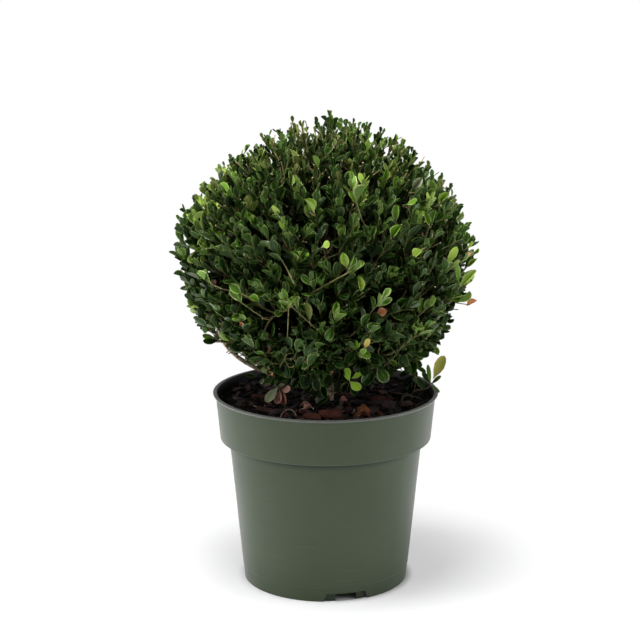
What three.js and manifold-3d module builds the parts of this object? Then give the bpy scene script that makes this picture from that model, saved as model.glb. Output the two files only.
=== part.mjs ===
// A clipped Japanese holly ball in a five-litre nursery pot, in millimetres.
// +Z is up, the origin is the middle of the pot's foot, and the plant's front looks along -Y.
import * as THREE from "three";
import { mergeVertices } from "three/addons/utils/BufferGeometryUtils.js";
import Module from "manifold-3d";

const wasm = await Module();
wasm.setup();

// Driving dimensions
const CLEARANCE = 0.3;
const GOLDEN_ANGLE = Math.PI * (3 - Math.sqrt(5));
const Z_UP = new THREE.Vector3(0, 0, 1);

const pot = {
  height: 193,
  rimRadius: 113,
  bandFootRadius: 105.9,
  bandFootRound: 0.7,
  ledgeHeight: 146.6,
  neckRadius: 97.1,
  footBandRadius: 84.3,
  footBandHeight: 15,
  footRadius: 82.6,
  footRingWidth: 4.8,
  wall: 2,
  lipHeight: 3,
  lipOverhang: 2.9,
  floorUnderside: 7,
  floorThickness: 2,
  segments: 56,
};

const notch = {
  count: 3,
  firstHeading: -75.6,
  width: 46,
  topWidth: 40,
  height: 8.5,
  depth: 2.5,
  passageWidth: 21,
  passageHeight: 6.6,
  drainInnerRadius: 54,
  drainOuterRadius: 73,
  drainWidth: 12,
};

const soil = {
  belowRim: 9,
  bumpHeight: 1.8,
  segments: 40,
  rings: 5,
  chips: 36,
  chipLength: [10, 21],
  chipWidth: [5, 10],
  chipThickness: 2.4,
  levelRadius: 24,
};

const trunk = {
  foot: [-4, 12],
  height: 42,
  lean: [3, -4],
  flareRadius: 11,
  radius: 8.4,
  forkRadius: 7.2,
  sides: 10,
  rings: 8,
};

// The clipped outline and the smaller core are ellipsoids with a lower half of their own depth.
const crown = {
  centre: [0, 0, 325],
  across: 152,
  above: 147,
  below: 124,
  coreAcross: 119,
  coreAbove: 114,
  coreBelow: 92,
  coreDetail: 5,
  coreRoughness: 7,
  lump: 0.022,
  stemRadius: 5.6,
  stemSides: 8,
};

const twig = {
  count: 104,
  forkStep: 13,
  rootRadius: 2.3,
  tipRadius: 1.6,
  sunk: 14,
  upwardLean: 0.3,
  tipReach: [0.9, 0.955],
  forkShare: 0.3,
  checkedAt: [0.2, 0.3, 0.4, 0.5, 0.6, 0.7, 0.85, 1],
  limbRoom: 3,
};

const leaf = {
  length: 38,
  width: 23,
  thickness: 1.4,
  cup: 2.4,
  widest: 0.6,
  leansBack: 0.5,
  facesUp: 0.35,
  spread: 60,
  tipSpread: 0.5,
  shortest: 0.55,
  places: [0.5, 0.68, 0.84, 0.98],
  attempts: 8,
  apart: 9.5,
  limbRoom: 9,
};

// Each bough leaves the trunk at a height and heading, and enters the crown at a heading and a slope.
// The low left one goes through points over the soil instead, out past the core and then up.
const boughs = [
  {
    name: "bough_left_low",
    leaves: 17,
    through: [[-64, 5, 28], [-97.5, 0.5, 52.4], [-106, -0.5, 71]],
    enters: 184,
    slope: -22,
    radius: 2.6,
  },
  { name: "bough_right_low", leaves: 21, heading: 344, enters: 350, slope: -36, sag: 16, radius: 2.9 },
  { name: "bough_front_left", leaves: 30, heading: 236, enters: 232, slope: -50, sag: 6, radius: 3.6 },
  { name: "bough_front_right", leaves: 33, heading: 296, enters: 302, slope: -52, sag: 5, radius: 3.6 },
  { name: "bough_back_left", leaves: 27, heading: 136, enters: 132, slope: -46, sag: 8, radius: 3.8 },
  { name: "bough_back_right", leaves: 30, heading: 40, enters: 44, slope: -47, sag: 8, radius: 3.8 },
  { name: "bough_back", leaves: 18, heading: 88, enters: 90, slope: -44, sag: 10, radius: 3.4 },
];
const boughShape = { tipShare: 0.7, sides: 7, rings: 8, endInCore: 4 };
const shootShape = { sides: 5, rings: 4, leafSpread: 55, tipLeafSpread: 15 };

// Shoots from the plant's foot: stems as points over the soil, with leaves near life size.
const shoots = [
  {
    name: "shoot_front",
    leafSize: 0.45,
    stems: [
      {
        radius: 2.9,
        tipRadius: 1.3,
        leafPlaces: [],
        points: [[6, -5, 0], [6, -5, 3], [6.5, -5, 12], [6, -5, 23]],
      },
      {
        radius: 1.3,
        tipRadius: 0.9,
        leafPlaces: [0.55, 0.8, 0.98],
        points: [[6, -5, 8], [-5, -16, 21], [-18, -27, 32]],
      },
      {
        radius: 1.2,
        tipRadius: 0.9,
        leafPlaces: [0.7, 0.83, 0.92, 0.98],
        points: [[6, -5, 7], [14, -13, 12], [21, -20, 22]],
      },
    ],
  },
  {
    name: "shoot_right",
    leafSize: 0.5,
    stems: [
      {
        radius: 1.5,
        tipRadius: 0.9,
        leafPlaces: [0.55, 0.75, 0.9, 0.98],
        points: [[76, -10, 0], [76, -10, 3], [86, -8, 13], [103, -6, 17]],
      },
    ],
  },
  {
    name: "shoot_left",
    leafSize: 0.5,
    stems: [
      {
        radius: 1.4,
        tipRadius: 0.9,
        leafPlaces: [0.5, 0.75, 0.98],
        points: [[-40, -30, 0], [-40, -30, 3], [-42, -34, 12], [-46, -38, 17]],
      },
    ],
  },
];

const colours = {
  potGreen: 0x4c5843,
  peat: 0x2a1d16,
  bark: 0x7a6350,
  leafGreen: 0x2f5a1e,
  youngGreen: 0x7fae2a,
};

const soilTop = pot.height - soil.belowRim;
const crownCentre = new THREE.Vector3(...crown.centre);
const radians = THREE.MathUtils.degToRad;
const { lerp } = THREE.MathUtils;

// A repeatable run of numbers from 0 to 1.
function seeded(seed) {
  let state = seed >>> 0;
  return () => {
    state = (state + 0x6d2b79f5) >>> 0;
    let mixed = Math.imul(state ^ (state >>> 15), state | 1);
    mixed ^= mixed + Math.imul(mixed ^ (mixed >>> 7), mixed | 61);
    return ((mixed ^ (mixed >>> 14)) >>> 0) / 2 ** 32;
  };
}

const between = (random, low, high) => lerp(low, high, random());

// A geometry as a solid: only positions are kept, shared corners are merged and collapsed faces dropped.
function solidOf(geometry) {
  const bare = geometry.clone();
  bare.deleteAttribute("normal");
  bare.deleteAttribute("uv");
  const merged = mergeVertices(bare, 1e-4);
  const corners = merged.index.array;
  const faces = [];
  for (let i = 0; i < corners.length; i += 3) {
    const [a, b, c] = corners.slice(i, i + 3);
    if (a !== b && b !== c && c !== a) faces.push(a, b, c);
  }
  return new wasm.Manifold(
    new wasm.Mesh({
      numProp: 3,
      vertProperties: merged.getAttribute("position").array,
      triVerts: new Uint32Array(faces),
    }),
  );
}

// The largest piece of a solid: loose scraps go, and so do hollows that the joining sealed.
function largestPiece(solid) {
  return solid.decompose().reduce((best, piece) => (piece.volume() > best.volume() ? piece : best));
}

// Joins solids two by two, so that no join is between two large ones until the last.
function joined(solids) {
  let row = solids;
  while (row.length > 1) {
    const next = [];
    for (let i = 0; i < row.length; i += 2) next.push(i + 1 < row.length ? row[i].add(row[i + 1]) : row[i]);
    row = next;
  }
  return row[0];
}

function meshOf(name, solid, material) {
  const made = solid.getMesh();
  const geometry = new THREE.BufferGeometry();
  geometry.setAttribute("position", new THREE.BufferAttribute(new Float32Array(made.vertProperties), 3));
  geometry.setIndex(new THREE.BufferAttribute(new Uint32Array(made.triVerts), 1));
  geometry.computeVertexNormals();
  const mesh = new THREE.Mesh(geometry, material);
  mesh.name = name;
  return mesh;
}

// A profile of [radius, height] pairs, outside upwards, turned about the Z axis.
function turned(profile, segments) {
  const points = profile.map(([radius, height]) => new THREE.Vector2(radius, height));
  return new THREE.LatheGeometry(points, segments).rotateX(Math.PI / 2);
}

// A cylinder bent along a curve, with its radius given at each share of the length.
function limbGeometry(curve, radiusAt, sides, rings) {
  const geometry = new THREE.CylinderGeometry(1, 1, 1, sides, rings);
  const position = geometry.getAttribute("position");
  const frames = curve.computeFrenetFrames(rings, false);
  for (let i = 0; i < position.count; i++) {
    const ring = Math.round((position.getY(i) + 0.5) * rings);
    const share = ring / rings;
    const radius = radiusAt(share);
    const point = curve
      .getPointAt(share)
      .addScaledVector(frames.normals[ring], position.getX(i) * radius)
      .addScaledVector(frames.binormals[ring], -position.getZ(i) * radius);
    position.setXYZ(i, point.x, point.y, point.z);
  }
  return geometry;
}

const lipFoot = pot.height - pot.lipHeight;
const bandTop = pot.rimRadius - pot.lipOverhang;

// The pot: a drafted body on a foot ring, a flared band that stands out over a ledge, and a turned-out lip.
function potSolid() {
  const ringInner = pot.footRadius - pot.footRingWidth;
  const floorTop = pot.floorUnderside + pot.floorThickness;
  const step = 0.6;
  const profile = [
    [0, pot.floorUnderside],
    [ringInner - step, pot.floorUnderside],
    [ringInner, 0],
    [pot.footRadius, 0],
    [pot.footBandRadius - step, pot.footBandHeight - step],
    [pot.footBandRadius, pot.footBandHeight],
    [pot.neckRadius, pot.ledgeHeight],
    [pot.bandFootRadius - pot.bandFootRound, pot.ledgeHeight],
    [pot.bandFootRadius, pot.ledgeHeight + pot.bandFootRound],
    [bandTop, lipFoot],
    [pot.rimRadius, pot.height - step],
    [pot.rimRadius - step, pot.height],
    [bandTop - pot.wall + step, pot.height],
    [bandTop - pot.wall, lipFoot],
    [pot.bandFootRadius - pot.wall, pot.ledgeHeight + pot.wall],
    [pot.neckRadius - pot.wall, pot.ledgeHeight + pot.wall],
    [pot.footBandRadius - pot.wall - step, floorTop],
    [0, floorTop],
  ];
  let solid = solidOf(turned(profile, pot.segments));
  const backRadius = pot.footRadius - notch.depth;
  const recessBack = new THREE.CylinderGeometry(backRadius, backRadius, 60, pot.segments).rotateX(Math.PI / 2);
  const outline = new THREE.Shape([
    new THREE.Vector2(-notch.width / 2, -1),
    new THREE.Vector2(notch.width / 2, -1),
    new THREE.Vector2(notch.topWidth / 2, notch.height),
    new THREE.Vector2(-notch.topWidth / 2, notch.height),
  ]);
  const drainLength = notch.drainOuterRadius - notch.drainInnerRadius;
  for (let i = 0; i < notch.count; i++) {
    // Each cutter stands across the radius and runs outwards along it.
    const heading = radians(notch.firstHeading + (360 / notch.count) * i);
    const cutter = (geometry) => solidOf(geometry.rotateX(Math.PI / 2).rotateZ(Math.PI / 2 + heading));
    const recess = new THREE.ExtrudeGeometry(outline, { depth: 40, bevelEnabled: false }).translate(0, 0, 60);
    const passage = new THREE.BoxGeometry(notch.passageWidth, notch.passageHeight * 2, 20);
    const drain = new THREE.BoxGeometry(notch.drainWidth, 30, drainLength);
    solid = solid
      .subtract(cutter(recess).subtract(solidOf(recessBack)))
      .subtract(cutter(passage.translate(0, 0, pot.footRadius)))
      .subtract(cutter(drain.translate(0, 0, notch.drainInnerRadius + drainLength / 2)));
  }
  return largestPiece(solid);
}

// Where the trunk and the shoots stand in the soil.
const feet = [trunk.foot, ...shoots.map((shoot) => shoot.stems[0].points[0])];
const nearestFoot = (x, y) => Math.min(...feet.map(([footX, footY]) => Math.hypot(x - footX, y - footY)));

// The soil's height over its mean level: low swells, and level round each foot.
function soilBump(x, y) {
  const swell = Math.sin(x * 0.11 + 0.7) * Math.cos(y * 0.09 - 0.4) + 0.5 * Math.sin((x + y) * 0.17);
  const away = THREE.MathUtils.smoothstep(nearestFoot(x, y), soil.levelRadius, 2 * soil.levelRadius);
  return soil.bumpHeight * swell * away;
}

// The soil fills the pot to just under its rim, with chips of bark half sunk in its top.
function soilSolid() {
  const inset = pot.wall + 3 * CLEARANCE;
  const bottom = pot.floorUnderside + pot.floorThickness + CLEARANCE;
  const ledgeTop = pot.ledgeHeight + pot.wall;
  const bandSlope = (bandTop - pot.bandFootRadius) / (lipFoot - ledgeTop);
  const topRadius = pot.bandFootRadius + bandSlope * (soilTop - ledgeTop) - inset - CLEARANCE;
  const profile = [
    [0, bottom],
    [pot.footBandRadius - inset - CLEARANCE, bottom],
    [pot.neckRadius - inset, ledgeTop + CLEARANCE],
    [pot.bandFootRadius - inset, ledgeTop + CLEARANCE],
  ];
  for (let ring = 0; ring <= soil.rings; ring++) profile.push([topRadius * (1 - ring / soil.rings), soilTop]);
  const geometry = turned(profile, soil.segments);
  const position = geometry.getAttribute("position");
  for (let i = 0; i < position.count; i++) {
    const [x, y, z] = [position.getX(i), position.getY(i), position.getZ(i)];
    if (z > soilTop - 1) position.setZ(i, z + soilBump(x, y));
  }
  const random = seeded(41);
  const chips = [];
  for (let i = 0; i < soil.chips; i++) {
    const far = Math.sqrt((i + 0.5) / soil.chips) * (topRadius - soil.chipLength[1] * 0.7);
    const [x, y] = [far * Math.cos(i * GOLDEN_ANGLE), far * Math.sin(i * GOLDEN_ANGLE)];
    if (nearestFoot(x, y) < soil.chipLength[1]) continue;
    const [length, width] = [between(random, ...soil.chipLength), between(random, ...soil.chipWidth)];
    const chip = new THREE.BoxGeometry(length, width, soil.chipThickness);
    chip.rotateX(between(random, -0.3, 0.3)).rotateY(between(random, -0.25, 0.25)).rotateZ(i * 2);
    chips.push(solidOf(chip.translate(x, y, soilTop + soilBump(x, y) + CLEARANCE)));
  }
  return largestPiece(joined([solidOf(geometry), ...chips]));
}

function trunkCurve() {
  const [x, y] = trunk.foot;
  const low = soilTop + CLEARANCE;
  return new THREE.CatmullRomCurve3([
    new THREE.Vector3(x, y, low),
    new THREE.Vector3(x, y, low + 4),
    new THREE.Vector3(x + trunk.lean[0] * 0.4, y + trunk.lean[1] * 0.4, low + trunk.height * 0.45),
    new THREE.Vector3(x + trunk.lean[0], y + trunk.lean[1], low + trunk.height),
  ]);
}

// The trunk flares where its roots leave it, and tapers to its fork.
function trunkRadius(share) {
  const flare = (trunk.flareRadius - trunk.radius) * Math.exp(-share * 9);
  return lerp(trunk.radius, trunk.forkRadius, share) + flare;
}

const trunkSolid = (grow) =>
  solidOf(limbGeometry(trunkCurve(), (share) => trunkRadius(share) + grow, trunk.sides, trunk.rings));

function lumps(d) {
  return 1 + crown.lump * (Math.sin(5 * d.x + 1.3) * Math.cos(4 * d.y) + 0.7 * Math.sin(6 * d.z + 3 * d.y));
}

// How far the clipped outline, and the smaller core, reach along a direction from the crown's centre.
function reachOf(d, across, above, below) {
  const upright = d.z < 0 ? below : above;
  return lumps(d) / Math.sqrt((d.x * d.x + d.y * d.y) / (across * across) + (d.z * d.z) / (upright * upright));
}

const reach = (d) => reachOf(d, crown.across, crown.above, crown.below);
const coreReach = (d) => reachOf(d, crown.coreAcross, crown.coreAbove, crown.coreBelow);

// The core's face is rough, like the tips of the shorter twigs.
function coreSolid(grow) {
  const geometry = new THREE.IcosahedronGeometry(1, crown.coreDetail);
  const position = geometry.getAttribute("position");
  const d = new THREE.Vector3();
  for (let i = 0; i < position.count; i++) {
    d.fromBufferAttribute(position, i).normalize();
    const rough = Math.sin(37 * d.x + 11 * d.z) * Math.sin(41 * d.y - 17 * d.x + 23 * d.z);
    const point = d.clone().multiplyScalar(coreReach(d) + crown.coreRoughness * rough + grow).add(crownCentre);
    position.setXYZ(i, point.x, point.y, point.z);
  }
  return solidOf(geometry);
}

function headingSlope(turn, lift) {
  return new THREE.Vector3(Math.cos(lift) * Math.cos(turn), Math.cos(lift) * Math.sin(turn), Math.sin(lift));
}

const overSoil = ([x, y, height]) => new THREE.Vector3(x, y, height + soilTop + CLEARANCE);

// A bough runs from the trunk's middle out and up, sagging a little, until it is inside the core.
function boughCurve(bough) {
  const root = trunkCurve().getPointAt(bough.leaves / trunk.height);
  const d = headingSlope(radians(bough.enters), radians(bough.slope));
  const tip = d.clone().multiplyScalar(coreReach(d) - boughShape.endInCore).add(crownCentre);
  if (bough.through) return new THREE.CatmullRomCurve3([root, ...bough.through.map(overSoil), tip]);
  const out = headingSlope(radians(bough.heading), 0);
  const low = root.clone().addScaledVector(out, Math.hypot(tip.x - root.x, tip.y - root.y) * 0.5);
  low.z = lerp(root.z, tip.z, 0.45) - bough.sag * 0.55;
  const high = low.clone().lerp(tip, 0.62).addScaledVector(out, 4);
  high.z -= bough.sag * 0.3;
  return new THREE.CatmullRomCurve3([root, root.clone().lerp(low, 0.35), low, high, tip]);
}

const boughRadius = (bough, share) => bough.radius * lerp(1, boughShape.tipShare, share);

function boughSolid(bough) {
  const radiusAt = (share) => boughRadius(bough, share);
  return solidOf(limbGeometry(boughCurve(bough), radiusAt, boughShape.sides, boughShape.rings));
}

function stemCurve(stem) {
  return new THREE.CatmullRomCurve3(stem.points.map(overSoil));
}

// Points along every limb with the radius there, for keeping twigs and leaves clear of them.
// A shoot's stem is taken as wide as its leaves.
const limbs = [
  { curve: trunkCurve(), radiusAt: trunkRadius },
  ...boughs.map((bough) => ({ curve: boughCurve(bough), radiusAt: (share) => boughRadius(bough, share) })),
  ...shoots.flatMap(({ stems, leafSize }) =>
    stems.map((stem) => ({ curve: stemCurve(stem), radiusAt: () => stem.radius + leaf.length * leafSize })),
  ),
];
const limbPoints = limbs.flatMap(({ curve, radiusAt }) =>
  Array.from({ length: 25 }, (_, i) => ({ at: curve.getPointAt(i / 24), radius: radiusAt(i / 24) })),
);

// A twig or leaf stays inside the clipped outline and off the limbs.
function staysClear(points, room) {
  return points.every((point) => {
    const d = point.clone().sub(crownCentre);
    const far = d.length();
    if (far > reach(d.normalize()) + 0.5) return false;
    return limbPoints.every(({ at, radius }) => at.distanceTo(point) > radius + room);
  });
}

function twigSolid(root, tip) {
  const radiusAt = (share) => lerp(twig.rootRadius, twig.tipRadius, share);
  return solidOf(limbGeometry(new THREE.LineCurve3(root, tip), radiusAt, 3, 1));
}

// A leaf of eight faces: its root and tip, two raised margins, and the rib above and below.
function leafSolid({ base, along, up, length, width }) {
  const side = new THREE.Vector3().crossVectors(up, along).normalize();
  const face = new THREE.Vector3().crossVectors(along, side).normalize();
  const at = (x, y, z) =>
    base.clone().addScaledVector(along, x).addScaledVector(side, y).addScaledVector(face, z);
  const widest = length * leaf.widest;
  const [root, tip] = [at(0, 0, 0), at(length, 0, 0)];
  const [left, right] = [at(widest, width / 2, leaf.cup), at(widest, -width / 2, leaf.cup)];
  const [upper, under] = [at(widest, 0, leaf.thickness / 2), at(widest, 0, -leaf.thickness / 2)];
  const faces = [
    [root, right, upper], [right, tip, upper], [tip, left, upper], [left, root, upper],
    [root, under, right], [right, under, tip], [tip, under, left], [left, under, root],
  ];
  return solidOf(new THREE.BufferGeometry().setFromPoints(faces.flat()));
}

// A leaf at a base point, turned round its twig's axis and spread away from it.
function leafShape(base, axis, turn, spread, length, width) {
  const out = new THREE.Vector3().crossVectors(axis, Z_UP).normalize().applyAxisAngle(axis, turn);
  const along = axis.clone().multiplyScalar(Math.cos(spread)).addScaledVector(out, Math.sin(spread));
  const up = axis.clone().addScaledVector(out, -leaf.leansBack).addScaledVector(Z_UP, leaf.facesUp);
  return { base, along, up, length, width };
}

// Shortens a leaf, a little at a time, until its tip is inside the crown's outline.
function clipped(shape) {
  const step = shape.length / 16;
  for (let length = shape.length; length > step; length -= step) {
    const end = shape.base.clone().addScaledVector(shape.along, length).sub(crownCentre);
    const far = end.length();
    if (far <= reach(end.normalize())) return { ...shape, length };
  }
  return { ...shape, length: 0 };
}

// Four points down the middle of a leaf's blade.
function bladePoints({ base, along, length }) {
  return [0.38, leaf.widest, 0.82, 1].map((share) => base.clone().addScaledVector(along, length * share));
}

// Leaves in turn round a twig's outer part, each clipped to the outline and kept off its neighbours.
function leavesOn(root, tip, random, taken) {
  const axis = tip.clone().sub(root).normalize();
  const made = [];
  let turn = random() * Math.PI * 2;
  for (const share of leaf.places) {
    const length = leaf.length * between(random, 0.85, 1.05);
    const width = leaf.width * between(random, 0.9, 1.1);
    const atTip = share === leaf.places.at(-1);
    const spread = radians(leaf.spread * between(random, 0.75, 1.15) * (atTip ? leaf.tipSpread : 1));
    for (let attempt = 0; attempt < leaf.attempts; attempt++) {
      turn += GOLDEN_ANGLE;
      const shape = clipped(leafShape(root.clone().lerp(tip, share), axis, turn, spread, length, width));
      const blade = bladePoints(shape);
      if (shape.length < leaf.length * leaf.shortest || !staysClear(blade, leaf.limbRoom)) continue;
      if (blade.some((point) => taken.some((other) => other.distanceTo(point) < leaf.apart))) continue;
      taken.push(...blade);
      made.push(leafSolid(shape));
      break;
    }
  }
  return made;
}

// A twig's tip lies under the outline in its direction, and its root in the core, lower than its tip.
function twigEnds(d, random) {
  const tip = d.clone().multiplyScalar(reach(d) * between(random, ...twig.tipReach)).add(crownCentre);
  const grows = d.clone().addScaledVector(Z_UP, twig.upwardLean * Math.hypot(d.x, d.y)).normalize();
  const inward = d.clone().multiplyScalar(coreReach(d) - twig.sunk).add(crownCentre);
  return [tip.clone().addScaledVector(grows, -tip.distanceTo(inward)), tip];
}

// Even headings on a spiral, where the one a fork step further on is a near neighbour.
const twigHeading = (i) => headingSlope(i * GOLDEN_ANGLE, Math.asin(1 - (2 * (i + 0.5)) / twig.count));

// The crown is one clipped mass: a stem, a core, and forked twigs with leaves out to the outline.
function crownSolid() {
  const random = seeded(7);
  const grain = trunkCurve().getTangentAt(1);
  const stemFoot = trunkCurve().getPointAt(1).addScaledVector(grain, CLEARANCE);
  const stemBend = stemFoot.clone().addScaledVector(grain, 6);
  const stemTop = new THREE.Vector3(stemBend.x, stemBend.y, crown.centre[2] - crown.coreBelow + 12);
  const stem = new THREE.CatmullRomCurve3([stemFoot, stemBend, stemTop]);
  const pieces = [coreSolid(0), solidOf(limbGeometry(stem, () => crown.stemRadius, crown.stemSides, 2))];
  const taken = [];
  for (let i = 0; i < twig.count; i++) {
    if (i % (2 * twig.forkStep) >= twig.forkStep) continue;
    const [root, tip] = twigEnds(twigHeading(i), random);
    const twigs = [[root, tip]];
    if (i + twig.forkStep < twig.count) {
      const [, forkTip] = twigEnds(twigHeading(i + twig.forkStep), random);
      twigs.push([root.clone().lerp(tip, twig.forkShare), forkTip]);
    }
    for (const [from, to] of twigs) {
      const seen = twig.checkedAt.map((share) => from.clone().lerp(to, share));
      if (!staysClear(seen, twig.limbRoom)) continue;
      pieces.push(twigSolid(from, to), ...leavesOn(from, to, random, taken));
    }
  }
  return largestPiece(joined(pieces));
}

// A shoot from the plant's foot: its stems, and leaves in turn along them.
function shootSolid(shoot, seed) {
  const random = seeded(seed);
  const [length, width] = [leaf.length * shoot.leafSize, leaf.width * shoot.leafSize];
  const pieces = [];
  for (const stem of shoot.stems) {
    const curve = stemCurve(stem);
    const radiusAt = (share) => lerp(stem.radius, stem.tipRadius, share);
    pieces.push(solidOf(limbGeometry(curve, radiusAt, shootShape.sides, shootShape.rings)));
    stem.leafPlaces.forEach((share, i) => {
      const atTip = share === stem.leafPlaces.at(-1);
      const spread = radians(atTip ? shootShape.tipLeafSpread : shootShape.leafSpread);
      const turn = i * GOLDEN_ANGLE + random();
      const base = curve.getPointAt(share);
      pieces.push(leafSolid(leafShape(base, curve.getTangentAt(share), turn, spread, length, width)));
    });
  }
  return largestPiece(joined(pieces));
}

const plant = new THREE.Group();
const material = (color, roughness) => new THREE.MeshStandardMaterial({ color, roughness, metalness: 0 });
const bark = material(colours.bark, 0.85);
const foliage = material(colours.leafGreen, 0.45);
const youngFoliage = material(colours.youngGreen, 0.45);

plant.add(meshOf("pot", potSolid(), material(colours.potGreen, 0.55)));
plant.add(meshOf("soil", soilSolid(), material(colours.peat, 0.95)));
plant.add(meshOf("trunk", trunkSolid(0), bark));
const grownTrunk = trunkSolid(CLEARANCE);
const grownCore = coreSolid(CLEARANCE + 0.1);
for (const bough of boughs) {
  const solid = boughSolid(bough).subtract(grownTrunk).subtract(grownCore);
  plant.add(meshOf(bough.name, largestPiece(solid), bark));
}
plant.add(meshOf("crown", crownSolid(), foliage));
shoots.forEach((shoot, i) => plant.add(meshOf(shoot.name, shootSolid(shoot, 60 + i), youngFoliage)));

export default plant;
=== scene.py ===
import math

import bmesh
import bpy
import numpy as np
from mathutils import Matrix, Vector


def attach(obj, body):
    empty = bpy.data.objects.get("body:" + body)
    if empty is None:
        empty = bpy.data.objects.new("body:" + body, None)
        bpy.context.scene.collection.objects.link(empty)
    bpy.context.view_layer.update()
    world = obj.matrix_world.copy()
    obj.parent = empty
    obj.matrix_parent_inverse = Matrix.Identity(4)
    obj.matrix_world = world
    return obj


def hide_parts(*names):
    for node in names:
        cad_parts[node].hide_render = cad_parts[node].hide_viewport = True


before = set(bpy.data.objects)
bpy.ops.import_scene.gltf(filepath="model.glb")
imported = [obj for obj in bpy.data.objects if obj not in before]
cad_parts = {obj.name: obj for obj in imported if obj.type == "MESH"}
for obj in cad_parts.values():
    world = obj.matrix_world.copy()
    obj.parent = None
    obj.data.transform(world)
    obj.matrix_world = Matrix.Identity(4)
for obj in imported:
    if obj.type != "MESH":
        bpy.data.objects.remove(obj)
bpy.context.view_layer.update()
goldenAngle = math.pi * (3 - math.sqrt(5))
studioTilt = 0.223   # how far the photograph's view looks down, in radians
upright = np.array([0.0, 0.0, 1.0])


# Editing helpers

def deselectAll():
    if bpy.context.object and bpy.context.object.mode == "EDIT":
        bpy.ops.object.mode_set(mode="OBJECT")
    bpy.ops.object.select_all(action="DESELECT")


def makeActive(obj):
    deselectAll()
    obj.select_set(True)
    bpy.context.view_layer.objects.active = obj


def editOn(obj):
    makeActive(obj)
    bpy.ops.object.mode_set(mode="EDIT")
    bpy.ops.mesh.select_all(action="SELECT")


def editOff():
    bpy.ops.object.mode_set(mode="OBJECT")


# Adds a primitive and opens it for editing, selected all over
def startShape(addPrimitive, **settings):
    deselectAll()
    addPrimitive(**settings)
    obj = bpy.context.object
    editOn(obj)
    return obj


# Ends the editing with every face turned outwards
def endShape():
    bpy.ops.mesh.select_all(action="SELECT")
    bpy.ops.mesh.normals_make_consistent(inside=False)
    editOff()


# Picks the corners of the mesh in edit mode whose place passes the test
def selectWhere(obj, test):
    bpy.ops.mesh.select_all(action="DESELECT")
    shape = bmesh.from_edit_mesh(obj.data)
    for vert in shape.verts:
        vert.select = bool(test(vert.co))
    shape.select_flush(True)
    bmesh.update_edit_mesh(obj.data)


def applyModifiers(obj):
    makeActive(obj)
    for modifier in list(obj.modifiers):
        bpy.ops.object.modifier_apply(modifier=modifier.name)
    bpy.ops.object.transform_apply(location=True, rotation=True, scale=True)


# Hands a finished piece to the frame: its materials and the nodes it stands for
def seatPiece(obj, name, materials, slotName, *nodes):
    obj.name = name
    for material in materials:
        obj.data.materials.append(material)
    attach(obj, "root")
    if nodes:
        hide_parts(*nodes)
    return obj


# One corner is drawn along the profile edge by edge, then spun about the upright axis
def turnedPiece(profile, steps):
    obj = startShape(bpy.ops.mesh.primitive_plane_add, size=0.01)
    bpy.ops.mesh.merge(type="CENTER")
    bpy.ops.transform.translate(value=(profile[0][0], 0, profile[0][1]))
    for start, end in zip(profile, profile[1:]):
        step = (end[0] - start[0], 0, end[1] - start[1])
        bpy.ops.mesh.extrude_region_move(TRANSFORM_OT_translate={"value": step})
    bpy.ops.mesh.select_all(action="SELECT")
    bpy.ops.mesh.spin(steps=steps, angle=math.tau, center=(0, 0, 0), axis=(0, 0, 1))
    bpy.ops.mesh.select_all(action="SELECT")
    bpy.ops.mesh.remove_doubles(threshold=1e-5)
    endShape()
    return obj


# Rounded corners: the steps in each curve, how much of a short edge it may take, and how far past
# its ends a point holds the shading of the faces that are at least so many times as long
roundShape = {"steps": 5, "mostOfEdge": 0.4, "hold": 0.0006, "longFace": 8}


# A profile of (radius, height, rounding) corners, each rounded corner drawn as a short curve
def roundedProfile(corners):
    steps, mostOfEdge, hold = (roundShape[key] for key in ("steps", "mostOfEdge", "hold"))
    profile = []
    for i, (radius, height, rounding) in enumerate(corners):
        corner = Vector((radius, height))
        if not rounding:
            profile.append(tuple(corner))
            continue
        back = Vector(corners[i - 1][:2]) - corner
        ahead = Vector(corners[i + 1][:2]) - corner
        start = corner + back.normalized() * min(rounding, back.length * mostOfEdge)
        end = corner + ahead.normalized() * min(rounding, ahead.length * mostOfEdge)
        if back.length > roundShape["longFace"] * hold:
            profile.append(tuple(start + back.normalized() * hold))
        for step in range(steps + 1):
            share = step / steps
            point = start * (1 - share) ** 2 + corner * 2 * share * (1 - share) + end * share ** 2
            profile.append(tuple(point))
        if ahead.length > roundShape["longFace"] * hold:
            profile.append(tuple(end + ahead.normalized() * hold))
    return profile


# Reads a small finished model as triangles, to be repeated many times, and removes it
def takeModel(obj):
    editOn(obj)
    bpy.ops.mesh.quads_convert_to_tris(quad_method="BEAUTY", ngon_method="BEAUTY")
    editOff()
    mesh = obj.data
    uvLayer = mesh.uv_layers.active
    model = {
        "points": np.array([vert.co[:] for vert in mesh.vertices]),
        "corners": np.array([face.vertices[:] for face in mesh.polygons]),
        "slots": np.array([face.material_index for face in mesh.polygons]),
        "uv": np.array([loop.uv[:] for loop in uvLayer.data]).reshape(-1, 3, 2),
    }
    bpy.data.objects.remove(obj)
    return model


# Copies of a model, each with its place, its turn (3 by 3) and its size along the three axes
def copiesOf(model, places, turns, sizes):
    count = len(places)
    shapes = model["points"][None] * sizes[:, None, :]
    points = np.einsum("kij,kvj->kvi", turns, shapes) + places[:, None, :]
    corners = model["corners"][None] + np.arange(count)[:, None, None] * len(model["points"])
    return {
        "points": points.reshape(-1, 3),
        "corners": corners.reshape(-1, 3),
        "slots": np.tile(model["slots"], count),
        "uv": np.tile(model["uv"], (count, 1, 1)),
    }


def joinedShapes(shapes):
    starts = np.cumsum([0] + [len(shape["points"]) for shape in shapes[:-1]])
    return {
        "points": np.concatenate([shape["points"] for shape in shapes]),
        "corners": np.concatenate([shape["corners"] + start for shape, start in zip(shapes, starts)]),
        "slots": np.concatenate([shape["slots"] for shape in shapes]),
        "uv": np.concatenate([shape["uv"] for shape in shapes]),
    }


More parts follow.
